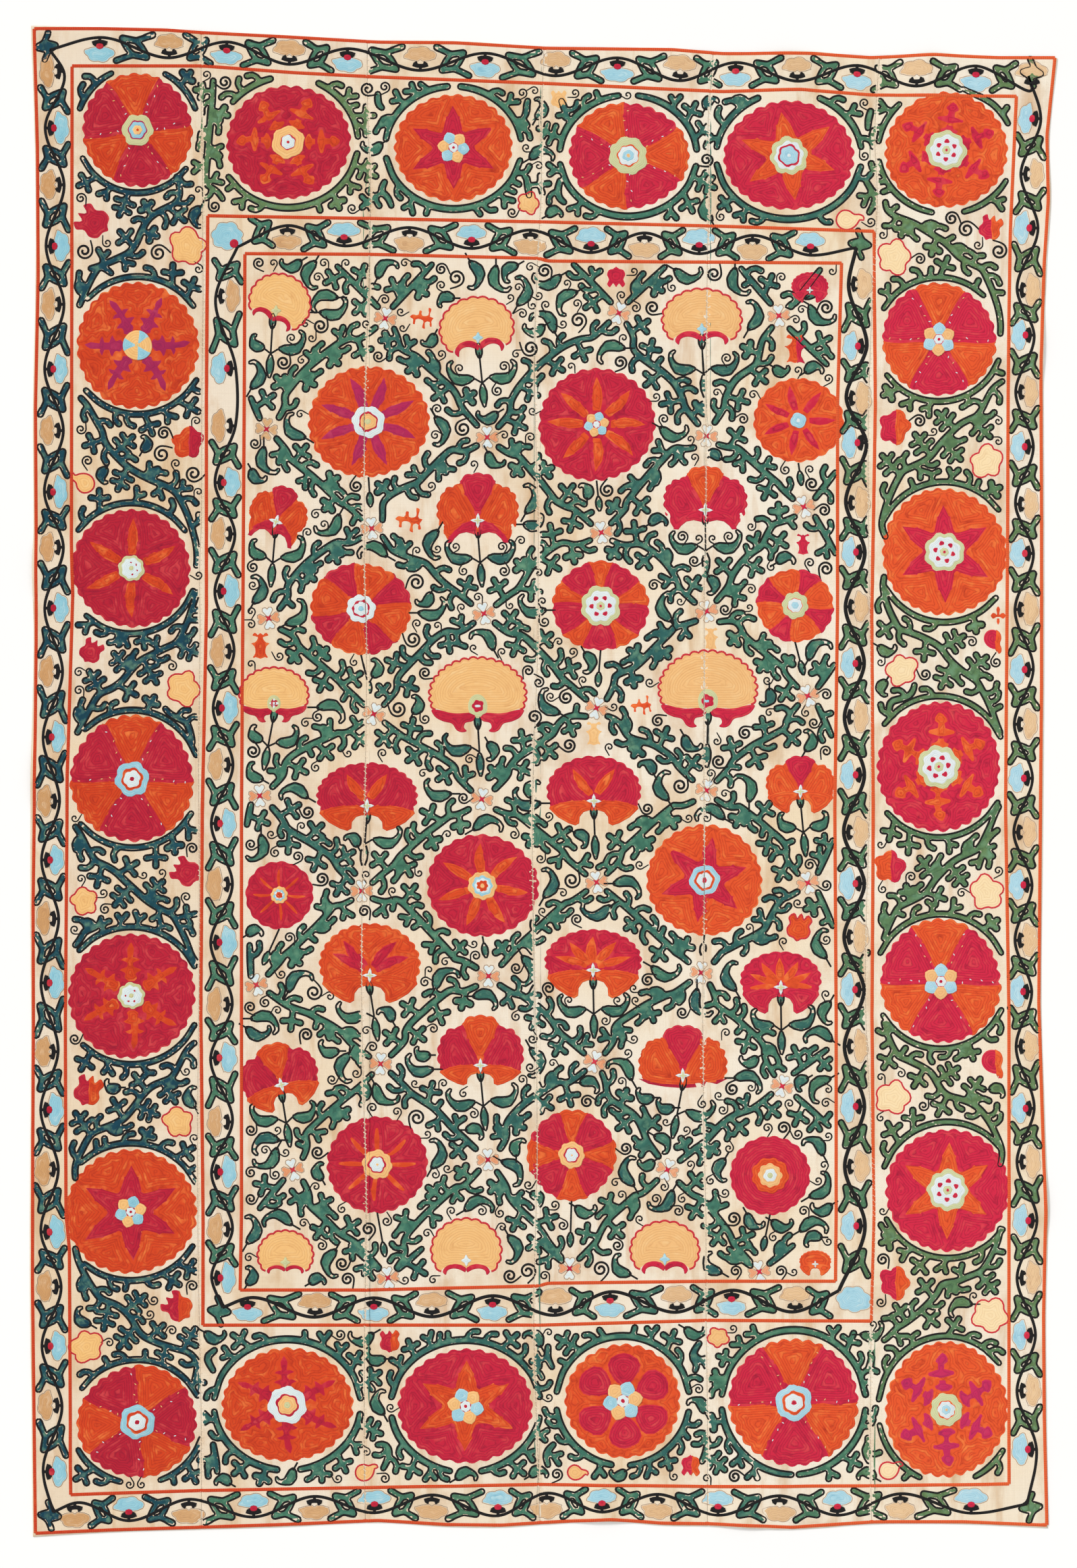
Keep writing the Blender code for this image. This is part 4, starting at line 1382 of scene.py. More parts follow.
SHAPES = {
    # little flowers as outlines round their middle: beside and above, as shares of their size
    "tulip": mirrored(((0, -1), (0.3, -0.8), (0.75, -0.7), (1.0, -0.2), (0.8, 0.2), (1.0, 0.6), (0.6, 0.95),
                       (0.3, 0.6), (0, 1.0))),
    "boteh": ((0, -1), (0.5, -0.85), (0.85, -0.4), (0.8, 0.1), (0.5, 0.5), (0.2, 0.75), (0.3, 1.0),
              (0.0, 1.05), (-0.25, 0.8), (-0.35, 0.4), (-0.7, 0.1), (-0.85, -0.4), (-0.5, -0.85)),
    "jug": mirrored(((0, -1), (0.35, -0.9), (0.75, -1.0), (0.45, -0.55), (0.55, -0.1), (0.95, 0.1),
                     (0.45, 0.2), (0.25, 0.45), (0.7, 0.6), (0.45, 0.85), (0.15, 0.7), (0, 1.0))),
    "cross": mirrored(((0, -1), (0.25, -0.6), (0.2, -0.2), (0.55, -0.4), (0.95, 0), (0.55, 0.35), (0.2, 0.2),
                       (0.3, 0.6), (0, 1))),
    "comb": ((-1, -0.12), (-0.7, -0.2), (-0.65, -0.55), (-0.4, -0.55), (-0.4, -0.2), (0.1, -0.2),
             (0.15, -0.7), (0.42, -0.75), (0.4, -0.25), (0.6, -0.2), (0.72, -0.55), (0.95, -0.5),
             (0.85, -0.1), (1.0, 0.15), (0.7, 0.2), (0.65, 0.75), (0.4, 0.8), (0.4, 0.25), (0.0, 0.2),
             (-0.05, 0.5), (-0.3, 0.5), (-0.35, 0.18), (-0.8, 0.15)),
}


def little_flower(kind, place, size, turn, silk_name, second=None, edge=None):
    """A small flower: a shape, its silk, perhaps a second silk for half of it and an edge cord."""
    if kind == "round":
        outline = ring(place, (size * 1.06, size * 1.06), 5, 0.26, draw.uniform(0, 60), 0.05, 30)
    else:
        beside, above = np.array(SHAPES[kind]).T
        outline = smooth_line(standing(place, turn)(beside * size * 0.85, above * size), 3.2, True)
    patch(silk_name, outline, step=5.0)
    if second:
        half = outline[outline[:, 0] > place[0] + 0.02 * size]
        if len(half) > 4:
            angle = np.arctan2(half[:, 1] - place[1], half[:, 0] - place[0])
            patch(second, np.array([*half[np.argsort(angle)], place]), 1, 4.5)
    if edge:
        edges_to_cord[edge].append((outline, True, 0.85))


LITTLE_FLOWERS = (
    # kind, place, size, lean, silk, second silk, edge
    ("tulip", (138, 329), 27, -60, "crimson"), ("round", (278, 365), 27, 0, "straw", None, "crimson"),
    ("round", (783, 301), 16, 0, "straw", None, "crimson"), ("tulip", (828, 147), 15, 0, "straw"),
    ("boteh", (1259, 325), 20, 80, "pale_straw", None, "crimson"),
    ("tulip", (1467, 338), 20, 20, "crimson", "orange"),
    ("round", (1325, 381), 25, 0, "pale_straw", None, "crimson"),
    ("round", (278, 656), 24, 0, "orange", "crimson"),
    ("boteh", (122, 714), 19, -60, "straw", None, "crimson"), ("tulip", (135, 965), 20, 30, "crimson"),
    ("round", (272, 1020), 25, 0, "straw", None, "crimson"),
    ("round", (1325, 633), 25, 0, "crimson", "orange"),
    ("round", (1462, 684), 24, 0, "pale_straw", None, "crimson"), ("cross", (1479, 912), 15, 0, "orange"),
    ("boteh", (1473, 950), 19, 150, "crimson", "orange"),
    ("round", (1336, 993), 23, 0, "pale_straw", None, "crimson"), ("tulip", (276, 1292), 24, -60, "crimson"),
    ("round", (125, 1335), 20, 0, "straw", None, "crimson"),
    ("tulip", (130, 1616), 24, 20, "crimson", "orange"),
    ("round", (264, 1662), 22, 0, "straw", None, "crimson"),
    ("round", (1318, 1284), 24, 0, "orange", "crimson"),
    ("round", (1462, 1322), 25, 0, "pale_straw", None, "crimson"),
    ("boteh", (1473, 1576), 23, 150, "crimson", "orange"),
    ("round", (1323, 1626), 25, 0, "pale_straw", None, "crimson"),
    ("tulip", (263, 1936), 24, -50, "crimson", "orange"),
    ("round", (128, 1995), 24, 0, "straw", None, "crimson"),
    ("tulip", (577, 1987), 18, 0, "crimson", "orange"),
    ("boteh", (543, 2179), 17, 60, "straw", None, "crimson"),
    ("round", (1064, 1981), 15, 0, "straw", None, "crimson"),
    ("round", (1325, 1900), 24, 0, "crimson", "orange"),
    ("round", (1467, 1948), 26, 0, "pale_straw", None, "crimson"),
    ("tulip", (1023, 2171), 17, 180, "crimson", "orange"),
    ("boteh", (856, 2181), 15, 90, "straw", None, "crimson"),
    ("boteh", (1320, 2176), 18, 60, "pale_straw", None, "crimson"),
    ("tulip", (913, 411), 17, 180, "crimson"), ("comb", (625, 471), 22, 10, "orange"),
    ("comb", (606, 770), 25, 8, "orange"), ("jug", (386, 955), 22, 0, "orange"),
    ("jug", (1178, 515), 24, 0, "orange", "crimson"), ("jug", (1190, 805), 18, 0, "crimson"),
    ("comb", (950, 1045), 20, 0, "orange"), ("jug", (1053, 945), 19, 0, "straw"),
    ("jug", (880, 1085), 20, 0, "straw"), ("tulip", (1184, 1374), 20, 10, "orange", None, "crimson"),
)
for row in LITTLE_FLOWERS:
    little_flower(*row)
print(len(LITTLE_FLOWERS), "little flowers and", len(ODD_KNOTS + EVEN_KNOTS), "knots")

# %% [markdown]
# Both bands between the frames follow one rule. A vine swings from side to side, and in each bay it
# leaves sits half a flower, tan and pale blue by turns, which grows from a short bar on the vine. The
# flowers' places along the band are listed one by one, because they crowd and open out; everything
# else about a band is worked out from them.

# %% Bands of small flowers
BANDS = {
    # band and side: the places along it, whether the first is tan, and the side the first's vine takes
    ("outer", "left"): ((106, 190, 274, 365, 451, 547, 638, 729, 811, 901, 995, 1092, 1187, 1274, 1361, 1456,
                         1558, 1644, 1732, 1825, 1906, 1994, 2082, 2180), True, 1),
    ("outer", "top"): ((148, 251, 336, 429, 515, 623, 719, 824, 915, 1008, 1090, 1181, 1270, 1358, 1446,
                        1529), False, -1),
    ("outer", "right"): ((176, 258, 338, 430, 497, 581, 662, 747, 820, 903, 992, 1073, 1153, 1233, 1311,
                          1393, 1469, 1550, 1642, 1721, 1808, 1893, 1978, 2060, 2147), False, -1),
    ("outer", "bottom"): ((111, 191, 280, 376, 466, 555, 640, 738, 810, 892, 974, 1064, 1155, 1241, 1334,
                           1439), True, 1),
    ("inner", "left"): ((439, 546, 631, 715, 791, 876, 965, 1049, 1133, 1220, 1310, 1396, 1488, 1567, 1662,
                         1736, 1821, 1893), True, -1),
    ("inner", "top"): ((426, 510, 607, 699, 786, 876, 955, 1036, 1115, 1201), True, -1),
    ("inner", "right"): ((421, 513, 590, 656, 745, 818, 899, 983, 1062, 1148, 1233, 1309, 1388, 1466, 1550,
                          1639, 1728, 1816), True, 1),
    ("inner", "bottom"): ((367, 467, 554, 640, 730, 823, 904, 1003, 1084, 1178), False, 1),
}
BAND_LINES = {"outer": (0, 1), "inner": (2, 3)}
BAND_ENDS = {
    # where the vine of each side starts and ends
    ("outer", "left"): ((74, 74), (79, 2240)), ("outer", "top"): ((74, 74), (1524, 113)),
    ("outer", "right"): ((1524, 113), (1522, 2228)), ("outer", "bottom"): ((79, 2240), (1522, 2228)),
    ("inner", "left"): ((352, 366), (330, 1937)), ("inner", "top"): ((352, 366), (1269, 367)),
    ("inner", "right"): ((1269, 367), (1243, 1912)), ("inner", "bottom"): ((330, 1937), (1243, 1912)),
}
# two corners of the inner band have a flower of their own, and leaves fill the other six corners
CORNER_FLOWERS = ((337, 350), (1265, 1925))
CORNER_LEAVES = ((74, 74), (1524, 113), (1522, 2228), (79, 2240), (1269, 367), (330, 1937))
CORNER_CROSSINGS = (
    # place, along the band, towards the vine's next side, reach
    ((338, 402), (0, 1), (-1, 0), 40), ((388, 344), (1, 0), (0, -1), 40),
    ((1266, 1868), (0, 1), (-1, 0), 46), ((1214, 1930), (1, 0), (0, -1), 36),
)
for place in CORNER_FLOWERS:
    outline = ring(place, (26, 21), 7, 0.16, 10.0, 0.05)
    patch("blue", outline, step=5.0)
    edges_to_cord["brown"].append((outline, True, 0.9))
patch("crimson", ring((347, 361), (6.5, 6.5)), 2, 3.0)
VINE_WEIGHTS = {("inner", "right"): 1.25, ("inner", "bottom"): 1.1}
VINE_SHARE = 0.54
FLOWER_SHARE = 0.20
HALF_FLOWER = ((-0.55, -0.42), (-0.16, -0.50), (0.0, -0.34), (0.16, -0.50), (0.55, -0.42))


def band_place(band, side):
    """A rule from a place along a band and a share across it (-1 outside, 1 inside) to pixels."""
    outer, inner = BAND_LINES[band]

    def place(along, across):
        low, high = frame_place(side, outer, along), frame_place(side, inner, along)
        middle = (low + high) / 2 + (high - low) / 2 * np.asarray(across)
        return np.stack(np.broadcast_arrays(*((middle, along) if side in ALONG_Y else (along, middle))), -1)

    return place


def half_flower(middle, along_step, away_step, silk_name):
    """Half a small rosette with scallops on the far side of its vine."""
    angle = np.radians(np.arange(-8, 189, 7))
    lobe = 1 - 0.13 * (1 - abs(np.sin(angle * 3.4 + draw.uniform(0, 0.6))))
    along = np.concatenate([np.cos(angle) * lobe, [p[0] for p in HALF_FLOWER]])
    away = np.concatenate([np.sin(angle) * lobe * 0.98 - 0.12, [p[1] for p in HALF_FLOWER]])
    size = (draw.uniform(22.5, 26), draw.uniform(16, 19))
    outline = middle + np.outer(along * size[0], along_step) + np.outer(away * size[1] + 2, away_step)
    patch(silk_name, outline, step=5.0)
    edges_to_cord["brown"].append((outline, True, 0.9))


vines, bars = [], []
crossings = [tuple(np.array(part, float) for part in row) for row in CORNER_CROSSINGS]
for (band, side), (places, tan_first, first_side) in BANDS.items():
    place = band_place(band, side)
    vine = []
    for index, along in enumerate(places):
        tan = (index % 2 == 0) == tan_first
        vine_side = first_side if index % 2 == 0 else -first_side
        if (band, side) == ("inner", "left") and index > 1:
            # below its second flower this vine keeps to one side of all flowers of a kind
            vine_side = 1 if tan else -1
        middle = place(along, -vine_side * FLOWER_SHARE)
        beside = place(along + 1.0, 0.0) - place(along, 0.0)
        beside /= np.hypot(*beside)
        away = place(along, -vine_side * 0.5) - place(along, 0.0)
        away /= np.hypot(*away)
        half_flower(middle, beside, away, "tan" if tan else "blue")
        root = place(along, vine_side * VINE_SHARE)
        bars.append((root, beside, away))
        if not tan:
            turn = np.radians(range(0, 360, 45))
            dot = root + away * 13.0 + np.outer(np.cos(turn), beside) * 6.0
            patch("crimson", dot + np.outer(np.sin(turn), away) * 4.6, 2, 3.0)
        if vine and vine[-1][1] != vine_side:
            halfway = (vine[-1][0] + along) / 2
            crossings.append((place(halfway, 0.0), beside,
                              place(halfway, vine_side * 0.5) - place(halfway, 0.0),
                              (along - vine[-1][0]) / 2))
        vine.append((along, vine_side))
    first, last = BAND_ENDS[band, side]
    line = [first] + [place(along, s * VINE_SHARE) for along, s in vine] + [last]
    vines.append((smooth_line(line, 3.5), False, VINE_WEIGHTS.get((band, side), 1.0)))
print(sum(len(row[0]) for row in BANDS.values()), "band flowers,", len(crossings), "crossings")

# %% [markdown]
# The greenery runs everywhere: branches with blunt fingers, curled leaves, buds and forked leaves, all
# teal inside a black outline. Where two leaves meet they share one outline, so they can't be made one
# by one. Instead every leaf is drawn as a fat stroke into one field over the whole cloth, which holds
# the distance to the nearest leaf's edge, below nought inside it. The outline is then wherever the
# field is nought, and the silk fills whatever lies inside.

# %% A field of distances to the leaves
FAR = 60.0
REACH = 26
field = np.full((PICTURE_HEIGHT, PICTURE_WIDTH), FAR, np.float32)
shade_field = np.full((PICTURE_HEIGHT, PICTURE_WIDTH), 0.4, np.float32)
COARSE = 3
coarse_x, coarse_y = np.meshgrid(np.arange(0, PICTURE_WIDTH, COARSE, dtype=np.float32),
                                 np.arange(0, PICTURE_HEIGHT, COARSE, dtype=np.float32))
taken = np.full(coarse_x.shape, FAR, np.float32)


def limb_gap(x, y, start, stop):
    """The distance to a limb whose ends (x, y, radius) are round."""
    dx, dy = stop[0] - start[0], stop[1] - start[1]
    share = np.clip(((x - start[0]) * dx + (y - start[1]) * dy) / max(dx * dx + dy * dy, 1e-6), 0, 1)
    return np.hypot(x - start[0] - share * dx, y - start[1] - share * dy) - (
        start[2] + share * (stop[2] - start[2]))


def stroke(limbs, shade, blend=0.8):
    """Draws limbs, each a list of (x, y, radius), into the field as one soft shape."""
    spots = np.array([spot for limb in limbs for spot in limb])
    low = np.maximum((spots.min(0)[:2] - REACH).astype(int), 0)
    high = np.minimum((spots.max(0)[:2] + REACH).astype(int) + 1, (PICTURE_WIDTH, PICTURE_HEIGHT))
    x = np.arange(low[0], high[0], dtype=np.float32)[None, :]
    y = np.arange(low[1], high[1], dtype=np.float32)[:, None]
    gap = np.full((len(y), x.shape[1]), FAR, np.float32)
    for limb in limbs:
        for start, stop in zip(limb[:-1], limb[1:]):
            gap = np.minimum(gap, limb_gap(x, y, start, stop))
    window = (slice(low[1], high[1]), slice(low[0], high[0]))
    old = field[window]
    nearer = gap < old
    shade_field[window][nearer] = shade
    soft = np.clip(0.5 + 0.5 * (old - gap) / blend, 0, 1) if blend else nearer.astype(np.float32)
    field[window] = old + (gap - old) * soft - blend * soft * (1 - soft)


def long_stroke(line, radii, shade):
    """Draws a long stem a stretch at a time."""
    spots = np.column_stack([line, radii])
    for start in range(0, len(spots) - 1, 4):
        stroke([spots[start:start + 5]], shade, 0.0)


def claim(gap):
    """Marks part of the cloth as taken by something else."""
    np.minimum(taken, gap, out=taken)


def claim_ellipse(centre, size):
    u, v = (coarse_x - centre[0]) / size[0], (coarse_y - centre[1]) / size[1]
    claim((np.hypot(u, v) - 1) * min(size))


def claim_line(line, radius):
    low, high = line.min(0) - FAR, line.max(0) + FAR
    columns = slice(max(int(low[0] // COARSE), 0), int(high[0] // COARSE) + 1)
    rows = slice(max(int(low[1] // COARSE), 0), int(high[1] // COARSE) + 1)
    x, y = coarse_x[rows, columns], coarse_y[rows, columns]
    for start, stop in zip(line[:-1], line[1:]):
        gap = limb_gap(x, y, (*start, radius), (*stop, radius))
        taken[rows, columns] = np.minimum(taken[rows, columns], gap)


def look_up(grid, points, step):
    column = np.clip(np.rint(points[:, 0] / step).astype(int), 0, grid.shape[1] - 1)
    row = np.clip(np.rint(points[:, 1] / step).astype(int), 0, grid.shape[0] - 1)
    return grid[row, column]


def free(points):
    """How much room there is at each point before a leaf and before anything else."""
    points = np.atleast_2d(points)
    return look_up(field, points, 1), look_up(taken, points, COARSE)


for centre, size, *_ in BORDER_ROSETTES + FIELD_ROSETTES:
    claim_ellipse(centre, (size[0] + 2, size[1] + 2))
for base, half, top, bottom, *_ in (*PALMETTES, *FANS, FLAT_PALMETTE):
    height = base[1] - top
    claim_ellipse((base[0], base[1] - 0.33 * height), (half + 2, 0.70 * height + 2))
    claim_ellipse((base[0], base[1]), (half * 0.72, bottom - base[1] + 2))
for kind, place, size, *_ in LITTLE_FLOWERS:
    claim_ellipse(place, (size + 1, size + 1))
for place in ODD_KNOTS + EVEN_KNOTS:
    claim_ellipse(place, (16, 16))
for side in FRAMES:
    for number in range(4):
        claim_line(frame_line(side, number)[::5], FRAME_WIDTH / 2)
print("room left at the middle of the cloth:", float(taken[386, 266]))

# %% [markdown]
# A branch is a stem with sprigs on alternate sides. The embroiderer fits each sprig to the room that
# is left, so the script does too: in the border it first tries a frond of five fingers, then
# everywhere a clover of three, then smaller ones down to a stub, and it leaves the place bare if none
# fits. A stem's path is given by a few points and then settles into the middle of the free ground
# between the flowers.

# %% Branches with sprigs
BRANCH = random.Random(23)
CLOVER = (
    # limbs of a clover: along the sprig's line, beside it, radius
    ((0, 0, 3.8), (16, 0, 3.6), (30, 0, 4.4)),
    ((16, 0, 3.6), (18.5, 6, 3.7), (19.5, 12.5, 4.4)),
    ((16, 0, 3.6), (18.5, -6, 3.7), (19.5, -12.5, 4.4)),
)
FROND = (
    ((0, 0, 3.8), (20, 0, 3.7), (38, 1, 4.4)),
    ((12, 0, 3.6), (16, 7, 3.7), (16, 14, 4.3)),
    ((12, 0, 3.6), (16, -7, 3.7), (16, -14, 4.3)),
    ((25, 0, 3.5), (28, 6, 3.6), (29, 12, 4.2)),
    ((25, 0, 3.5), (28, -6, 3.6), (29, -12, 4.2)),
)
LOBED = (
    ((0, 0, 3.8), (14, 0, 4.2), (25, 1, 4.8)),
    ((14, 0, 4.2), (17, 10, 5.2)),
    ((14, 0, 4.2), (17, -10, 5.2)),
)
HOOKED = (((0, 0, 4.0), (9, 0.5, 3.7), (15, 4, 3.7), (17.5, 11, 4.3)),)
FORK = (
    ((0, 0, 3.8), (10, 0, 3.7), (22, 6, 4.3)),
    ((10, 0, 3.7), (18, -8, 4.2)),
)
STUB = (((0, 0, 3.8), (13, 0, 4.2)),)


def turned(limbs, place, angle, scale=1.0, flip=1):
    """Limbs turned to an angle in degrees and set at a place in the picture."""
    turn = math.radians(angle)
    cos, sin = math.cos(turn), math.sin(turn)
    return [
        [(place[0] + (a * cos - flip * b * sin) * scale, place[1] - (a * sin + flip * b * cos) * scale, r)
         for a, b, r in limb]
        for limb in limbs
    ]


LEAF_ROOM, OTHER_ROOM = 3.4, 1.8
SPRIG_LEAN = (62, 84)
SPRIG_NUDGES = (0, 16, -14)


def fits(limbs):
    """Whether the ends of all limbs have room round them."""
    ends = np.array([limb[-1] for limb in limbs])
    middles = np.array([limb[-2] for limb in limbs])
    leaf, other = free(ends)
    middle_other = free(middles)[1]
    return bool((leaf > ends[:, 2] + LEAF_ROOM).all() and (other > ends[:, 2] + OTHER_ROOM).all()
                and (middle_other > middles[:, 2]).all())


def sprig(place, angle, side, shade, kinds):
    """Sews the first kind of sprig that fits, on one side of a stem that runs at an angle."""
    lean = BRANCH.uniform(*SPRIG_LEAN) * side
    for limbs, scale in kinds:
        scale *= BRANCH.uniform(0.94, 1.06)
        for nudge in SPRIG_NUDGES:
            for flip in (-side, side):
                drawn = turned(limbs, place, angle + lean + nudge * side, scale, flip)
                if fits(drawn):
                    stroke(drawn, shade)
                    return True
    return False


SETTLING_ROUNDS, MOST_PUSH, WIDE_ENOUGH = 14, 1.4, 40


def settle(line):
    """Moves a stem's inner points towards the middle of the free ground."""
    line = np.array(line, float)
    for _ in range(SETTLING_ROUNDS):
        shifts = []
        for dx, dy in ((4, 0), (-4, 0), (0, 4), (0, -4)):
            shifts.append(np.minimum(look_up(taken, line + (dx, dy), COARSE), WIDE_ENOUGH))
        slope = np.column_stack([shifts[0] - shifts[1], shifts[2] - shifts[3]])
        line[1:-1] += np.clip(slope[1:-1] * 0.25, -MOST_PUSH, MOST_PUSH)
        line[1:-1] = line[1:-1] * 0.5 + (line[:-2] + line[2:]) * 0.25
    return line


STEM_STEP, STEM_TAPER = 6.0, 0.8
stems = []


def stem(points, shade, width, settled=True):
    """Draws a branch's stem now and keeps its path for the sprigs."""
    line = smooth_line(points, STEM_STEP)
    if settled:
        line = smooth_line(settle(line), STEM_STEP)
    share = np.linspace(0, 1, len(line))
    radii = width / 2 * (STEM_TAPER + (1 - STEM_TAPER) * np.sin(math.pi * np.clip(share * 0.9 + 0.1, 0, 1)))
    long_stroke(line, radii, shade)
    stems.append((line, shade, settled))


SHADES = ((60, 290, 330, 560, 1060, 1240, 1310, 1500), (0.06, 0.10, 0.42, 0.46, 0.40, 0.50, 0.86, 0.95))


def leaf_shade(place, extra=0.0):
    """Navy at the left edge, teal in the field and sage at the right edge."""
    base = np.interp(place[0], *SHADES)
    return float(np.clip(base + extra + BRANCH.uniform(-0.09, 0.09), 0, 1))


LARGE = ((FROND, 1.0), (CLOVER, 1.05), (LOBED, 1.0), (CLOVER, 0.86), (FORK, 1.0), (LOBED, 0.8),
         (HOOKED, 1.0), (STUB, 1.0))
SMALL = ((HOOKED, 1.15), (HOOKED, 0.95), (STUB, 1.1))
FIELD_MIDDLE, FIELD_HALF = (800, 1142), (440, 762)


def grow_sprigs(pitch, kinds, first):
    """Goes along every stem and sews sprigs on alternate sides."""
    for line, shade, settled in stems:
        side = BRANCH.choice((-1, 1))
        for along in np.arange(first, (len(line) - 1) * STEM_STEP - 8.0, pitch):
            index = min(int(along / STEM_STEP), len(line) - 2)
            step = line[index + 1] - line[index]
            place = line[index] + step * (along / STEM_STEP - index)
            angle = math.degrees(math.atan2(-step[1], step[0]))
            side = -side
            in_field = (abs(place - FIELD_MIDDLE) < FIELD_HALF).all()
            chosen = [row for row in kinds if not (in_field and row[0] is FROND)]
            if not sprig(place, angle, side, shade, chosen) and (kinds is SMALL or not settled):
                sprig(place, angle, -side, shade, chosen)


# %% [markdown]
# In the field one branch runs along each side of the diamonds, from knot to knot. In the border a
# branch crosses each gap between two rosettes on a slant, and arcs and wreaths hug the rosettes
# themselves.

# %% Paths of the branches
KNOT_ROOM = 20.0
NEAR_KNOT = (285, 200)


def shorten(start, stop, low, high):
    start, stop = np.array(start, float), np.array(stop, float)
    step = (stop - start) / np.hypot(*(stop - start))
    return start + step * low, stop - step * high


for even in EVEN_KNOTS:
    for odd in ODD_KNOTS:
        if abs(even[0] - odd[0]) < NEAR_KNOT[0] and abs(even[1] - odd[1]) < NEAR_KNOT[1]:
            first, last = shorten(even, odd, KNOT_ROOM + BRANCH.uniform(0, 6), KNOT_ROOM)
            middle = (first + last) / 2
            stem([first, middle, last], leaf_shade(middle), BRANCH.uniform(9.0, 10.2))

EDGE_BRANCHES = (
    # from a knot out to the frame round the field
    ((1172, 455), (1215, 400)), ((1170, 487), (1225, 540)), ((1208, 738), (1238, 700)),
    ((1208, 766), (1238, 820)), ((1212, 1018), (1236, 985)), ((1212, 1046), (1232, 1090)),
    ((1212, 1293), (1234, 1245)), ((1212, 1322), (1234, 1372)), ((1176, 1590), (1225, 1555)),
    ((1180, 1625), (1228, 1668)), ((385, 620), (372, 590)), ((560, 455), (500, 395)),
    ((582, 455), (640, 392)), ((905, 448), (850, 392)), ((930, 448), (985, 396)), ((1142, 450), (1098, 398)),
    ((560, 1880), (520, 1845)), ((590, 1880), (625, 1850)), ((832, 1868), (800, 1840)),
    ((1112, 1875), (1080, 1850)), ((372, 1192), (366, 1222)), ((372, 1446), (370, 1400)),
    ((420, 1748), (385, 1790)), ((1140, 1872), (1175, 1845)),
)
for first, last in EDGE_BRANCHES:
    stem([first, last], leaf_shade(last), 9.0, settled=False)

BORDER_BRANCHES = (
    # left side
    ((118, 452), (165, 405), (205, 350), (240, 300), (262, 262)), ((135, 398), (165, 405)),
    ((120, 590), (150, 655), (185, 690), (230, 715), (262, 740), (278, 770), (291, 838)),
    ((115, 1085), (150, 1035), (200, 985), (250, 935), (292, 878)),
    ((112, 1225), (150, 1275), (200, 1318), (250, 1370), (290, 1425)),
    ((112, 1745), (150, 1690), (200, 1640), (250, 1590), (288, 1545)),
    ((112, 1850), (150, 1905), (200, 1955), (250, 2000), (288, 2045)),
    ((112, 1400), (125, 1375), (150, 1360)), ((285, 1100), (270, 1070), (245, 1050)),
    # right side
    ((1312, 300), (1385, 345), (1430, 385), (1465, 425), (1482, 495)),
    ((1312, 795), (1345, 705), (1400, 650), (1450, 615), (1485, 565)),
    ((1310, 855), (1335, 925), (1390, 965), (1440, 1010), (1482, 1085)),
    ((1310, 1390), (1345, 1325), (1400, 1290), (1440, 1255), (1480, 1195)),
    ((1310, 1515), (1335, 1570), (1390, 1615), (1440, 1660), (1482, 1725)),
    ((1310, 1985), (1345, 1925), (1400, 1895), (1440, 1870), (1482, 1820)),
    ((1478, 1230), (1474, 1275), (1450, 1285)), ((1318, 1060), (1330, 1030), (1355, 1015)),
    # between the rosettes of the top and of the bottom
    ((316, 120), (320, 170), (318, 235), (330, 295)), ((782, 150), (776, 175)), ((832, 150), (838, 175)),
    ((778, 262), (784, 290)), ((830, 268), (836, 300)), ((1290, 165), (1286, 190)),
    ((1284, 270), (1288, 315)), ((318, 2000), (316, 2030)), ((316, 2140), (322, 2180)),
    ((812, 1995), (818, 2025)), ((820, 2140), (812, 2170)), ((1036, 1990), (1030, 2030)),
    ((1032, 2125), (1040, 2165)), ((1290, 2005), (1286, 2030)), ((1286, 2130), (1288, 2165)),
    ((560, 140), (566, 160)), ((570, 270), (580, 305)), ((560, 2140), (568, 2175)),
    ((1066, 160), (1070, 182)),
)
for path in BORDER_BRANCHES:
    middle = path[len(path) // 2]
    sage = 305 < middle[0] < 360 and middle[1] < 320
    stem(path, leaf_shade(middle, 0.5 if sage else 0.0), 9.4)

WREATHS = (1, 2, 3, 4, 12, 13, 14, 15)
ARC_GAP, ARC_WIDTH = 10.0, 8.2
WREATH_GAP, WREATH_WIDTH = 13.0, 9.6
ARC_ROOM, LONGEST_STEP = 5.5, 60
ARCS = (
    # rosette number, then each arc's two ends in degrees
    (0, (100, 160), (20, 78), (190, 322)), (1, (92, 142), (5, 84), (212, 350)),
    (2, (95, 172), (8, 84), (190, 348)), (3, (98, 174), (6, 82), (188, 350)),
    (4, (96, 172), (8, 84), (188, 350)), (5, (110, 172), (25, 75), (190, 258), (285, 338)),
    (6, (35, 152), (205, 330)), (7, (35, 160), (210, 340)), (8, (20, 150), (205, 330)),
    (9, (25, 155), (210, 335)), (10, (25, 150), (215, 330)), (11, (25, 165), (200, 255), (290, 345)),
    (12, (6, 174), (186, 262), (280, 352)), (13, (8, 172), (190, 258), (282, 350)),
    (14, (8, 172), (188, 260), (276, 350)), (15, (6, 174), (186, 268), (274, 354)),
    (16, (20, 172), (192, 255), (295, 345)), (17, (45, 165), (215, 340)), (18, (20, 155), (210, 335)),
    (19, (25, 160), (205, 330)), (20, (25, 155), (210, 335)), (21, (20, 160), (205, 325)),
)
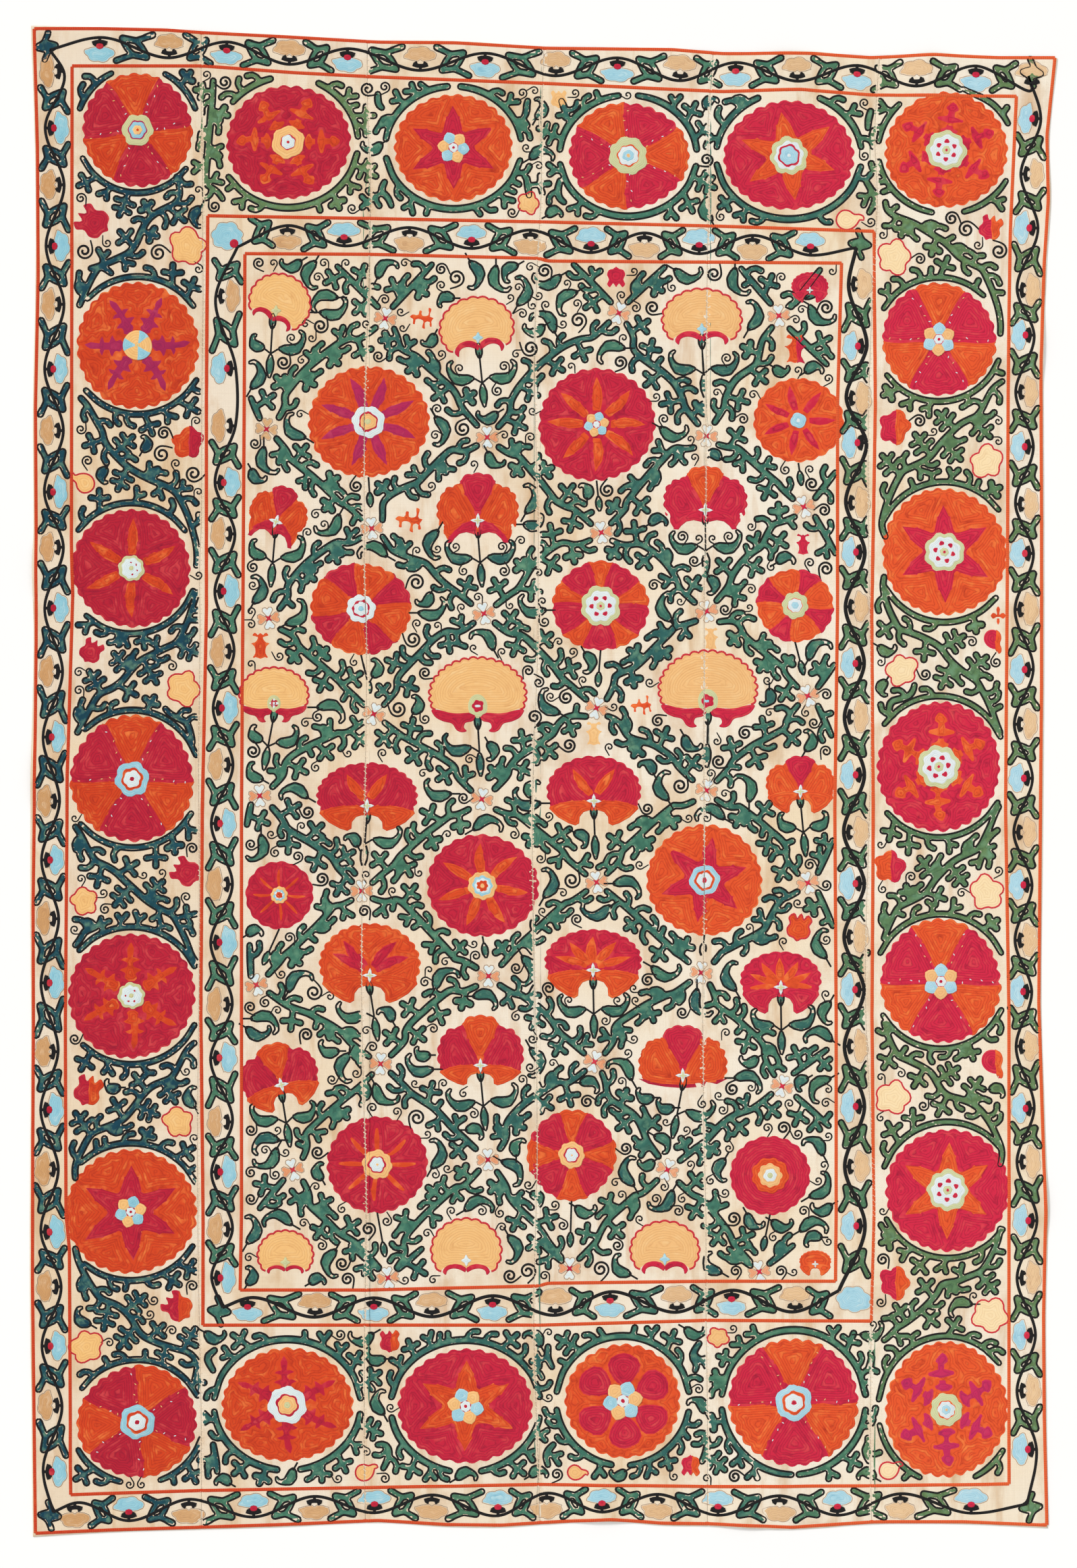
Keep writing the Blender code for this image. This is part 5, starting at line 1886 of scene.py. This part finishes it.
for number, *arcs in ARCS:
    centre, size = BORDER_ROSETTES[number][:2]
    gap, width = (WREATH_GAP, WREATH_WIDTH) if number in WREATHS else (ARC_GAP, ARC_WIDTH)
    for low, high in arcs:
        angles = np.linspace(low, high, 9) if BRANCH.random() < 0.5 else np.linspace(high, low, 9)
        line = spoke(centre, np.array(size) + gap, angles, 1.0)
        line = line[look_up(taken, line, COARSE) > ARC_ROOM]
        if len(line) > 2 and abs(np.diff(line, axis=0)).max() < LONGEST_STEP:
            shade = leaf_shade(line[len(line) // 2], 0.55 if number == 1 else 0.0)
            stem(line, shade, width, settled=False)
print(len(stems), "stems")

# %% [markdown]
# Each flower of the field hangs on a black stem that comes up from the knot below it: a bud at the
# knot, a pair of leaves half way, and curled leaves and spirals at the flower's sides. A curled leaf is
# a fat body with a thin tip that turns over, on a short black stalk. Its place is given, and it turns
# to whichever side has room.

# %% Stems of the flowers, curled leaves and spirals
CURLED = (((3, 0, 2.8), (9, 1.5, 6.2), (16, 3.5, 7.8), (23, 3, 7.2), (29, -1, 4.8), (34, -8, 3.2),
           (35, -15, 2.6), (31, -19, 2.2)),)
BUD = (((0, 0, 2.0), (7, 0, 4.6), (14, 0, 4.4), (21, 0, 1.8)),)
LONG_BUD = (((0, 0, 2.2), (10, 0, 5.4), (20, 0, 5.0), (32, 0, 1.6)),)
LEAF_MIDDLE = 17
SPIRAL_TURNS, SPIRAL_MOST, SPIRAL_LEAST = 1.65, 12.5, 6.0
SPIRAL_ROOM_ROUND, SPIRAL_TAIL = 2.4, 6
stalks, spirals = [], []


def stalk(points):
    """A black stem as a cord, which other greenery keeps clear of."""
    line = smooth_line(points, 3.0)
    stalks.append((line, False, 1.0))
    claim_line(line, 1.2)


def room_for(limbs, gap=2.2):
    """The least room round any part of some limbs."""
    spots = np.array([spot for limb in limbs for spot in limb])
    leaf, other = free(spots)
    return float((np.minimum(leaf, other) - spots[:, 2] - gap).min())


def curled_leaf(centre, shade, scales=(1.15, 1.0, 0.88, 0.76, 0.64)):
    """Sews a curled leaf about a place, turned where it has room and where its stalk can start."""
    for scale in scales:
        best = None
        for angle in range(0, 360, 30):
            for flip in (1, -1):
                turn = math.radians(angle)
                axis = np.array([math.cos(turn), -math.sin(turn)])
                base = np.asarray(centre, float) - axis * LEAF_MIDDLE * scale
                drawn = turned(CURLED, base, angle, scale, flip)
                room = room_for(drawn)
                if room < 0:
                    continue
                leaf, other = free(base - axis * 6)
                spare = max(0.0, float(min(leaf[0], other[0])) - 2.0)
                score = min(room, 3.0) - 0.35 * spare + BRANCH.random()
                if best is None or score > best[0]:
                    best = (score, drawn, base, axis, scale)
        if best:
            score, drawn, base, axis, scale = best
            stroke(drawn, shade, 0.6)
            reach = 5 + 7 * scale
            stalks.append((smooth_line([base - axis * reach, base + axis * 4 * scale], 3.0), False, 1.0))
            return True
    return False


def spiral(centre):
    """Coils a black cord about a place and leads its tail to the nearest leaf or flower."""
    centre = np.asarray(centre, float)
    leaf, other = free(centre)
    room = float(min(leaf[0], other[0]))
    radius = min(SPIRAL_MOST, room - SPIRAL_ROOM_ROUND)
    if radius < SPIRAL_LEAST:
        return False
    around = np.radians(np.arange(0, 360, 30))
    rim = centre + np.stack([np.cos(around), -np.sin(around)], -1) * (radius + 7)
    tail = around[int(np.argmin(np.minimum(*free(rim))))]
    way = BRANCH.choice((-1, 1))
    turn = np.linspace(0, SPIRAL_TURNS * min(radius / 9.0, 1.0) * math.tau, 26)
    reach = radius * (1 - turn / turn[-1] * 0.80)
    share = min(max(radius / 10.0, 0.74), 1.0)
    angle = tail + way * (turn + 0.75)
    coil = centre + np.stack([np.cos(angle), -np.sin(angle)], -1) * reach[:, None]
    start = centre + np.array([math.cos(tail), -math.sin(tail)]) * (radius + SPIRAL_TAIL)
    line = smooth_line([start, *coil], 2.6)
    swelling = np.interp(np.linspace(0, 1, len(line)), (0, 0.3, 1), (0.8, 1.0, 1.15))
    spirals.append((line, False, share * swelling))
    claim_ellipse(centre, (radius + 1.5, radius + 1.5))
    return True


def leaf_on(base, angle, scale, shade, flip=1, limbs=CURLED):
    """A leaf set on a stem's node, if there is room for it."""
    for share in (1.0, 0.85, 0.7, 0.55):
        for nudge in (0, 12, -12, 24, -24):
            drawn = turned(limbs, base, angle + nudge, scale * share, flip)
            if room_for([limb[1:] for limb in drawn], 1.6) > 0:
                stroke(drawn, shade, 0.6)
                return True
    return False


def flower_stem(top, foot, kind):
    """The stem from a flower down to its knot, with its bud and its pair of leaves."""
    top, foot = np.array(top, float), np.array(foot, float)
    length = float(np.hypot(*(foot - top)))
    down = (foot - top) / length
    heading = math.degrees(math.atan2(-down[1], down[0]))
    shade = leaf_shade(foot)
    if kind == "rosette":
        end = top + down * max(length - 44, 12)
        stalk([top, end])
        stroke(turned(BUD, end, heading, 0.9), shade, 0.0)
        for side in (-1, 1):
            leaf_on(top + down * 20, heading + 180 - side * 38, 0.9, shade, side, BUD)
        return
    node = top + down * min(max(length - 62, 14), 46)
    stroke(turned(BUD, top - down * 12, heading, 0.95), shade, 0.0)
    stalk([top, node])
    bud = LONG_BUD if length - np.hypot(*(node - top)) > 52 else BUD
    stroke(turned(bud, node + down * 3, heading, 1.0), shade, 0.0)
    for side in (-1, 1):
        angle = heading + 180 - side * 55
        out = node + 13 * np.array([math.cos(math.radians(angle)), -math.sin(math.radians(angle))])
        if leaf_on(out, angle - side * 12, 1.15, shade, -side):
            stalks.append((smooth_line([node, out], 3.0), False, 1.0))


def inside_frame(number):
    """Which places of the coarse grid lie inside one of the four frames."""
    return ((coarse_x > frame_place("left", number, coarse_y))
            & (coarse_x < frame_place("right", number, coarse_y))
            & (coarse_y > frame_place("top", number, coarse_x))
            & (coarse_y < frame_place("bottom", number, coarse_x)))


allowed = inside_frame(1) & ~inside_frame(2) | inside_frame(3)
taken[~allowed] = np.minimum(taken[~allowed], 0.0)

HANGING = [((c[0], c[1] + s[1]), "rosette") for c, s, *_ in FIELD_ROSETTES]
HANGING += [((base[0], base[1] + 0.4 * (bottom - base[1])), "dome")
            for base, half, top, bottom, *_ in PALMETTES + FANS]
HANGING.append(((1012, 1606), "dome"))
for top, kind in HANGING:
    below = [knot for knot in ODD_KNOTS + EVEN_KNOTS
             if abs(knot[0] - top[0]) < 60 and 20 < knot[1] - top[1] < 170]
    if below:
        knot = min(below, key=lambda place: place[1])
        flower_stem(top, (knot[0], knot[1] - 8), kind)

CURLED_PLACES = (
    (390, 395), (492, 463), (417, 535), (662, 442), (776, 437), (813, 477), (738, 541), (674, 551),
    (647, 489), (908, 516), (967, 475), (1016, 417), (1089, 415), (1118, 473), (1078, 535), (1008, 547),
    (1211, 535), (437, 640), (654, 633), (494, 778), (558, 815), (641, 745), (788, 745), (640, 801),
    (638, 908), (439, 916), (488, 1048), (683, 967), (737, 967), (791, 904), (814, 1048), (850, 1119),
    (913, 1116), (783, 1190), (717, 1220), (815, 1314), (927, 1309), (889, 1351), (981, 1170), (1058, 1204),
    (1110, 1170), (783, 1432), (1019, 1405), (1057, 1400), (981, 1441), (436, 1454), (390, 1509),
    (653, 1450), (717, 1476), (509, 1576), (624, 1584), (564, 1621), (795, 1568), (1033, 1483), (1081, 1452),
    (1223, 1496), (1143, 1404), (1215, 1404), (927, 1584), (1106, 1597), (1215, 1606), (872, 1604),
    (472, 1738), (417, 1805), (649, 1715), (759, 1729), (704, 1784), (930, 1741), (988, 1779), (1067, 1729),
    (1215, 1764), (377, 723), (391, 680), (974, 745), (1116, 745), (860, 820), (950, 905), (1115, 905),
    (985, 905), (480, 1210), (620, 1320), (1130, 1310), (960, 1310),
)
sewn_leaves = sum(curled_leaf(place, leaf_shade(place)) for place in CURLED_PLACES)
SPIRAL_PLACES = (
    (333, 122), (545, 132), (125, 372), (235, 375), (293, 397), (240, 673), (287, 702), (130, 683),
    (1298, 151), (1290, 329), (1432, 340), (1480, 372), (1363, 384), (1305, 405), (1304, 480), (1478, 508),
    (380, 492), (412, 507), (475, 483), (676, 412), (809, 452), (896, 439), (927, 433), (857, 475),
    (967, 456), (906, 491), (786, 516), (884, 537), (919, 537), (1058, 406), (1232, 406), (445, 614),
    (686, 635), (737, 579), (702, 688), (439, 890), (617, 863), (612, 947), (630, 997), (691, 940),
    (783, 994), (762, 893), (590, 1050), (372, 925), (785, 751), (772, 801), (839, 1033), (905, 1001),
    (847, 1304), (932, 1290), (777, 1416), (962, 1151), (1008, 1164), (959, 1198), (807, 1161), (714, 1169),
    (463, 1434), (465, 1470), (454, 1533), (473, 1393), (677, 1439), (654, 1524), (607, 1568), (788, 1457),
    (701, 1495), (731, 1490), (618, 1656), (371, 1492), (1076, 1530), (1013, 1509), (970, 1526),
    (1085, 1613), (1182, 1613), (1224, 1634), (391, 1819), (515, 1895), (675, 1805), (782, 1883),
    (890, 1880), (1087, 1805), (1090, 1883), (1157, 1883), (1221, 1726), (1229, 1828),
)
sewn_spirals = sum(spiral(place) for place in SPIRAL_PLACES)
grow_sprigs(27.0, LARGE, 16.0)
grow_sprigs(27.0, SMALL, 29.0)
TRIES, LEAST_ROOM, SPIRAL_ROOM, LEAF_START, SPIRAL_CHANCE = 900, 8.5, 13.5, 10.5, 0.55
tried = np.zeros(taken.shape, bool)
for _ in range(TRIES):
    room = np.where(tried | ~allowed, 0, np.minimum(field[::COARSE, ::COARSE], taken))
    row, column = np.unravel_index(int(np.argmax(room)), room.shape)
    most = float(room[row, column])
    if most < LEAST_ROOM:
        break
    place = np.array([column, row]) * float(COARSE)
    if most < SPIRAL_ROOM and BRANCH.random() < SPIRAL_CHANCE or most < LEAF_START:
        sewn_spirals += spiral(place)
    else:
        sewn_leaves += curled_leaf(place, leaf_shade(place), (1.1, 0.95, 0.8, 0.68, 0.58))
    tried[max(row - 1, 0):row + 2, max(column - 1, 0):column + 2] = True
print(sewn_leaves, "curled leaves and", sewn_spirals, "spirals")

# %% [markdown]
# In the bands, two forked leaves sit where the vine crosses over, one on each side of it and each the
# other's point mirror, and a dark bar with two prongs holds every half flower to the vine.

# %% Leaves of the bands
BAND_LEAF = (
    ((17, 13.5, 4.9), (-2, 10.5, 4.7)),
    ((-2, 10.5, 4.4), (-14, 15, 4.2), (-26, 20, 4.5)),
    ((-2, 10.5, 4.2), (-10, 2, 3.9), (-16, -9, 4.2)),
)
LEAF_BODY, LEAF_ARM, SHORTEST, LONGEST = 24.0, 26.0, 0.62, 1.05
for centre, beside, towards, reach in crossings:
    across = towards / np.hypot(*towards)
    shade = leaf_shade(centre, 0.08)
    long = min(max((reach - LEAF_BODY) / LEAF_ARM, SHORTEST), LONGEST)
    for mirror in (1, -1):
        limbs = [[(*(centre + mirror * (a * long * beside + b * across)), r * 0.92) for a, b, r in limb]
                 for limb in BAND_LEAF]
        stroke(limbs, shade, 0.4)
calyxes = []
for root, beside, away in bars:
    middle = root + away * 7.0
    ends = [middle + beside * share + away * (abs(share) > 8) * 2.0 for share in (-11, -5, 5, 11)]
    calyxes.append((smooth_line(ends, 3.0), False, 1.25))
    for share in (-5.0, 5.0):
        prong = [middle + beside * share, middle + beside * share * 1.4 + away * 6]
        calyxes.append((smooth_line(prong, 2.5), False, 0.8))
    calyxes.append((smooth_line([root - away * 1.5, middle], 2.5), False, 0.9))
SMALLER, CORNER_SHIFT = 0.62, 5.0
for centre in CORNER_LEAVES:
    inward = np.sign(CLOTH_CENTRE - centre)
    start = centre - inward * CORNER_SHIFT
    for mirror in (1, -1):
        limbs = [[(*(start + mirror * SMALLER * (a * inward * (1, -1) * 0.7 + b * inward * 0.7)), r * 0.86)
                  for a, b, r in limb] for limb in BAND_LEAF]
        stroke(limbs, leaf_shade(centre), 0.4)

# %% [markdown]
# Now the field is turned into sewing. The seams cut it into strips, and specks too small to sew are
# cleared. Then it is walked square by square along the line where it is nought, which gives closed
# loops. Each loop becomes a black cord, except where it runs along a seam, and the space inside the
# loops of each strip becomes one thin cushion of green silk.

# %% Outlines and filling of the greenery
SEAM_HALF_SLOT, CORD_CLEARANCE = 1.1, 0.9
LOOP_STEP = 2.8
SQUARE_EDGES = {
    # corners inside (1, 2, 4 and 8 clockwise from the upper left): the edges a line enters and leaves
    1: ("LT",), 2: ("TR",), 4: ("RB",), 8: ("BL",), 3: ("LR",), 6: ("TB",), 12: ("RL",), 9: ("BT",),
    14: ("TL",), 13: ("RT",), 11: ("BR",), 7: ("LB",), 5: ("LT", "RB"), 10: ("TR", "BL"),
}


def loops_at_nought(grid):
    """Closed lines in pixels along which a grid passes through nought."""
    height, width = grid.shape
    inside = grid < 0
    code = inside[:-1, :-1] + 2 * inside[:-1, 1:] + 4 * inside[1:, 1:] + 8 * inside[1:, :-1]
    total = height * width
    offsets = {"T": 0, "B": width, "L": total, "R": total + 1}
    following = {}
    for kind, passes in SQUARE_EDGES.items():
        rows, columns = np.nonzero(code == kind)
        number = rows * width + columns
        for enter, leave in passes:
            following.update(zip((number + offsets[enter]).tolist(), (number + offsets[leave]).tolist()))
    found = []
    while following:
        edge, after = following.popitem()
        chain = [edge]
        while after in following:
            chain.append(after)
            after = following.pop(after)
        found.append(np.array(chain))
    loops = []
    flat = grid.ravel()
    for chain in found:
        if len(chain) < 12:
            continue
        upright = chain >= total
        start = np.where(upright, chain - total, chain)
        stop = start + np.where(upright, width, 1)
        share = flat[start] / (flat[start] - flat[stop])
        x = start % width + np.where(upright, 0, share)
        y = start // width + np.where(upright, share, 0)
        loops.append(np.column_stack([x, y]))
    return loops


def even_loop(loop):
    """A loop smoothed a little and cut into even steps."""
    for _ in range(3):
        loop = (np.roll(loop, 1, 0) + 2 * loop + np.roll(loop, -1, 0)) / 4
    closed = np.concatenate([loop, loop[:1]])
    place = np.concatenate([[0], np.cumsum(np.hypot(*np.diff(closed, axis=0).T))])
    count = max(8, round(place[-1] / LOOP_STEP))
    wanted = np.arange(count) * place[-1] / count
    return np.column_stack([np.interp(wanted, place, closed[:, 0]), np.interp(wanted, place, closed[:, 1])])


grid_y = np.arange(PICTURE_HEIGHT, dtype=np.float32)
grid_x = np.arange(PICTURE_WIDTH, dtype=np.float32)
for line in seam_pixels(grid_y):
    low, high = int(line.min()) - 6, int(line.max()) + 6
    slot = SEAM_HALF_SLOT - abs(grid_x[None, low:high] - line[:, None])
    field[:, low:high] = np.maximum(field[:, low:high], slot)
SPECK, SPECK_SPAN, CLEARED = 42.0, 18, 1.2
for loop in loops_at_nought(field):
    after = np.roll(loop, -1, 0)
    area = float((loop[:, 0] * after[:, 1] - after[:, 0] * loop[:, 1]).sum()) / 2
    low, high = np.floor(loop.min(0)).astype(int), np.ceil(loop.max(0)).astype(int) + 1
    if abs(area) < SPECK and (high - low).max() < SPECK_SPAN:
        box = field[low[1]:high[1], low[0]:high[0]]
        box[:] = np.minimum(box, -CLEARED) if area > 0 else np.maximum(box, CLEARED)
leaf_loops = [even_loop(loop) for loop in loops_at_nought(field)]
print(len(leaf_loops), "loops,", sum(map(len, leaf_loops)), "points")


LEAF_ROW = 2.6 * MILLIMETRE
LEAF_RISE, LEAF_CROWN = 0.42, 4.2


def leaf_silk():
    board = Board("silk_leaf_green", roughness=0.64, sheen=0.2)
    row, tint = board.own("row"), board.own("tint")
    turn = (row / LEAF_ROW).part()
    edge = ((turn - 0.5).size() * 2.0) ** 3.0
    fibre = board.noise(board.place, 1300.0, 2.0)
    sheen_flow = board.vector(board.x * 60.0, board.y * 60.0, (row / LEAF_ROW).whole() * 5.1)
    sheen_flow = board.noise(sheen_flow, 1.0, 3.0)
    worn = board.noise(board.place, 30.0, 4.0, 0.6)
    stops = [(0.0, dye(20, 64, 84)), (0.25, dye(32, 84, 94)), (0.5, dye(70, 124, 102)),
             (0.75, dye(86, 126, 88)), (1.0, dye(106, 134, 86))]
    colour = board.add("ShaderNodeValToRGB", {"stops": stops}, {0: tint}, "Color")
    # painted light: light streaks of painted sheen along the rows, then dark streaks of painted shade and
    # painted shade in the grooves between rows
    colour = board.mix(sheen_flow.held(0.48, 0.72) * 0.7, colour, dye(118, 162, 130))
    colour = board.mix(sheen_flow.held(0.2, 0.48) * -0.45 + 0.45, colour, dye(20, 54, 54))
    colour = board.mix(edge * 0.35, colour, dye(18, 46, 46))
    colour = board.mix(worn.held(0.6, 0.8) * 0.3, colour, dye(130, 160, 136))
    return board.finish(colour, (1.0 - edge) * 0.8 + fibre * 0.5, 0.0005, 0.7)


def fill_leaves(name, loops, low_x, high_x, material):
    """One cushion of silk inside the loops of one strip."""
    points, edges = [], []
    for loop in loops:
        start, count = len(points), len(loop)
        points.extend(loop.tolist())
        edges.extend((start + i, start + (i + 1) % count) for i in range(count))
    inner = hexagonal((low_x, CLOTH_TOP), (high_x, CLOTH_BOTTOM), LEAF_CROWN)
    inner = inner[look_up(field, inner, 1) < -1.7]
    plan, faces = triangles([*points, *inner.tolist()], edges)
    centres = plan[faces].mean(1)
    faces = faces[look_up(field, centres, 1) < 0.1]
    used, faces = np.unique(faces, return_inverse=True)
    plan, faces = plan[used], faces.reshape(-1, 3)
    depth = np.maximum(-look_up(field, plan, 1), 0.0)
    rise = LEAF_RISE * (1 - (1 - np.clip(depth / LEAF_CROWN, 0, 1)) ** 2) - SINK
    ground = to_plan(plan)
    corner = ground[faces]
    area = np.cross(corner[:, 1] - corner[:, 0], corner[:, 2] - corner[:, 0])
    faces[area < 0] = faces[area < 0][:, ::-1]
    height = face_height(plan) + rise * MILLIMETRE
    numbers = {"row": depth * PIXEL, "tint": look_up(shade_field, plan, 1)}
    mesh = new_mesh(name, np.column_stack([ground, height]), faces[abs(area) > SLIVER], numbers)
    new_piece(name, mesh, material, "silk_green")
    print(name, len(mesh.polygons), "faces")


def off_the_seams(loop):
    """The parts of a loop that don't run along a seam, as lines for cords."""
    clear = seam_gap_pixels(loop) > SEAM_HALF_SLOT + CORD_CLEARANCE
    if clear.all():
        return [(loop, True, 1.0)]
    start = int(np.argmin(clear))
    loop, clear = np.roll(loop, -start, 0), np.roll(clear, -start)
    changes = np.flatnonzero(np.diff(clear.astype(int))) + 1
    runs = np.split(np.arange(len(loop)), changes)
    return [(loop[run], False, 1.0) for run in runs if clear[run[0]] and len(run) > 4]


green_silk = leaf_silk()
walls = [CLOTH_LEFT - 5, *(float(line.mean()) for line in seam_pixels(grid_y)), CLOTH_RIGHT + 5]
for index, (low_x, high_x) in enumerate(zip(walls[:-1], walls[1:])):
    mine = [loop for loop in leaf_loops if low_x <= loop[:, 0].mean() < high_x]
    outlines = [line for loop in mine for line in off_the_seams(loop)]
    fill_leaves(f"green_leaves_{index + 1}", mine, low_x - 6, high_x + 6, green_silk)
    cords(f"leaf_outlines_{index + 1}", outlines, 3.7, 0.72, black_thread, "silk_black")
cords("black_stalks", stalks, 3.4, 0.75, black_thread, "silk_black")
cords("black_spirals", spirals, 3.8, 0.8, black_thread, "silk_black")

# %% [markdown]
# The strips are joined by short slanting stitches of cream thread, which cross each seam from one
# selvedge to the other. The gaps between them are never quite even.

# %% Hand stitches along the seams
JOIN_PITCH, JOIN_HALF = 8.0, 2.1
joins = []
for index in range(len(SEAMS)):
    y = CLOTH_TOP + 50.0
    while y < CLOTH_BOTTOM - 45.0:
        x = seam_pixels(np.array([y]))[index][0]
        lean = draw.uniform(0.6, 2.4)
        line = np.array([(x - JOIN_HALF, y - lean), (x, y), (x + JOIN_HALF, y + lean)])
        joins.append((line, False, draw.uniform(0.8, 1.2)))
        y += JOIN_PITCH * draw.uniform(0.75, 1.3)
cords("joining_stitches", joins, 1.3, 0.45, cream_thread, "cotton", 0.35)

# %% [markdown]
# Last come the edges that are sewn over the flowers, and the sizes of the whole.

# %% Edges, patches and the size of the whole
cords("band_vines", vines, 4.9, 1.0, black_thread, "silk_black", sides=4)
cords("band_calyxes", calyxes, 5.0, 0.9, black_thread, "silk_black", 0.35)
cords("crimson_edges", edges_to_cord["crimson"], 3.0, 0.9, crimson_thread, "silk_crimson", 0.2)
cords("brown_edges", edges_to_cord["brown"], 1.5, 0.6, brown_thread, "silk_black", 0.0)
finish_patches()
size = {"cad": [list(c) for c in CAD_BOX], "visual": [list(c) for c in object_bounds()]}
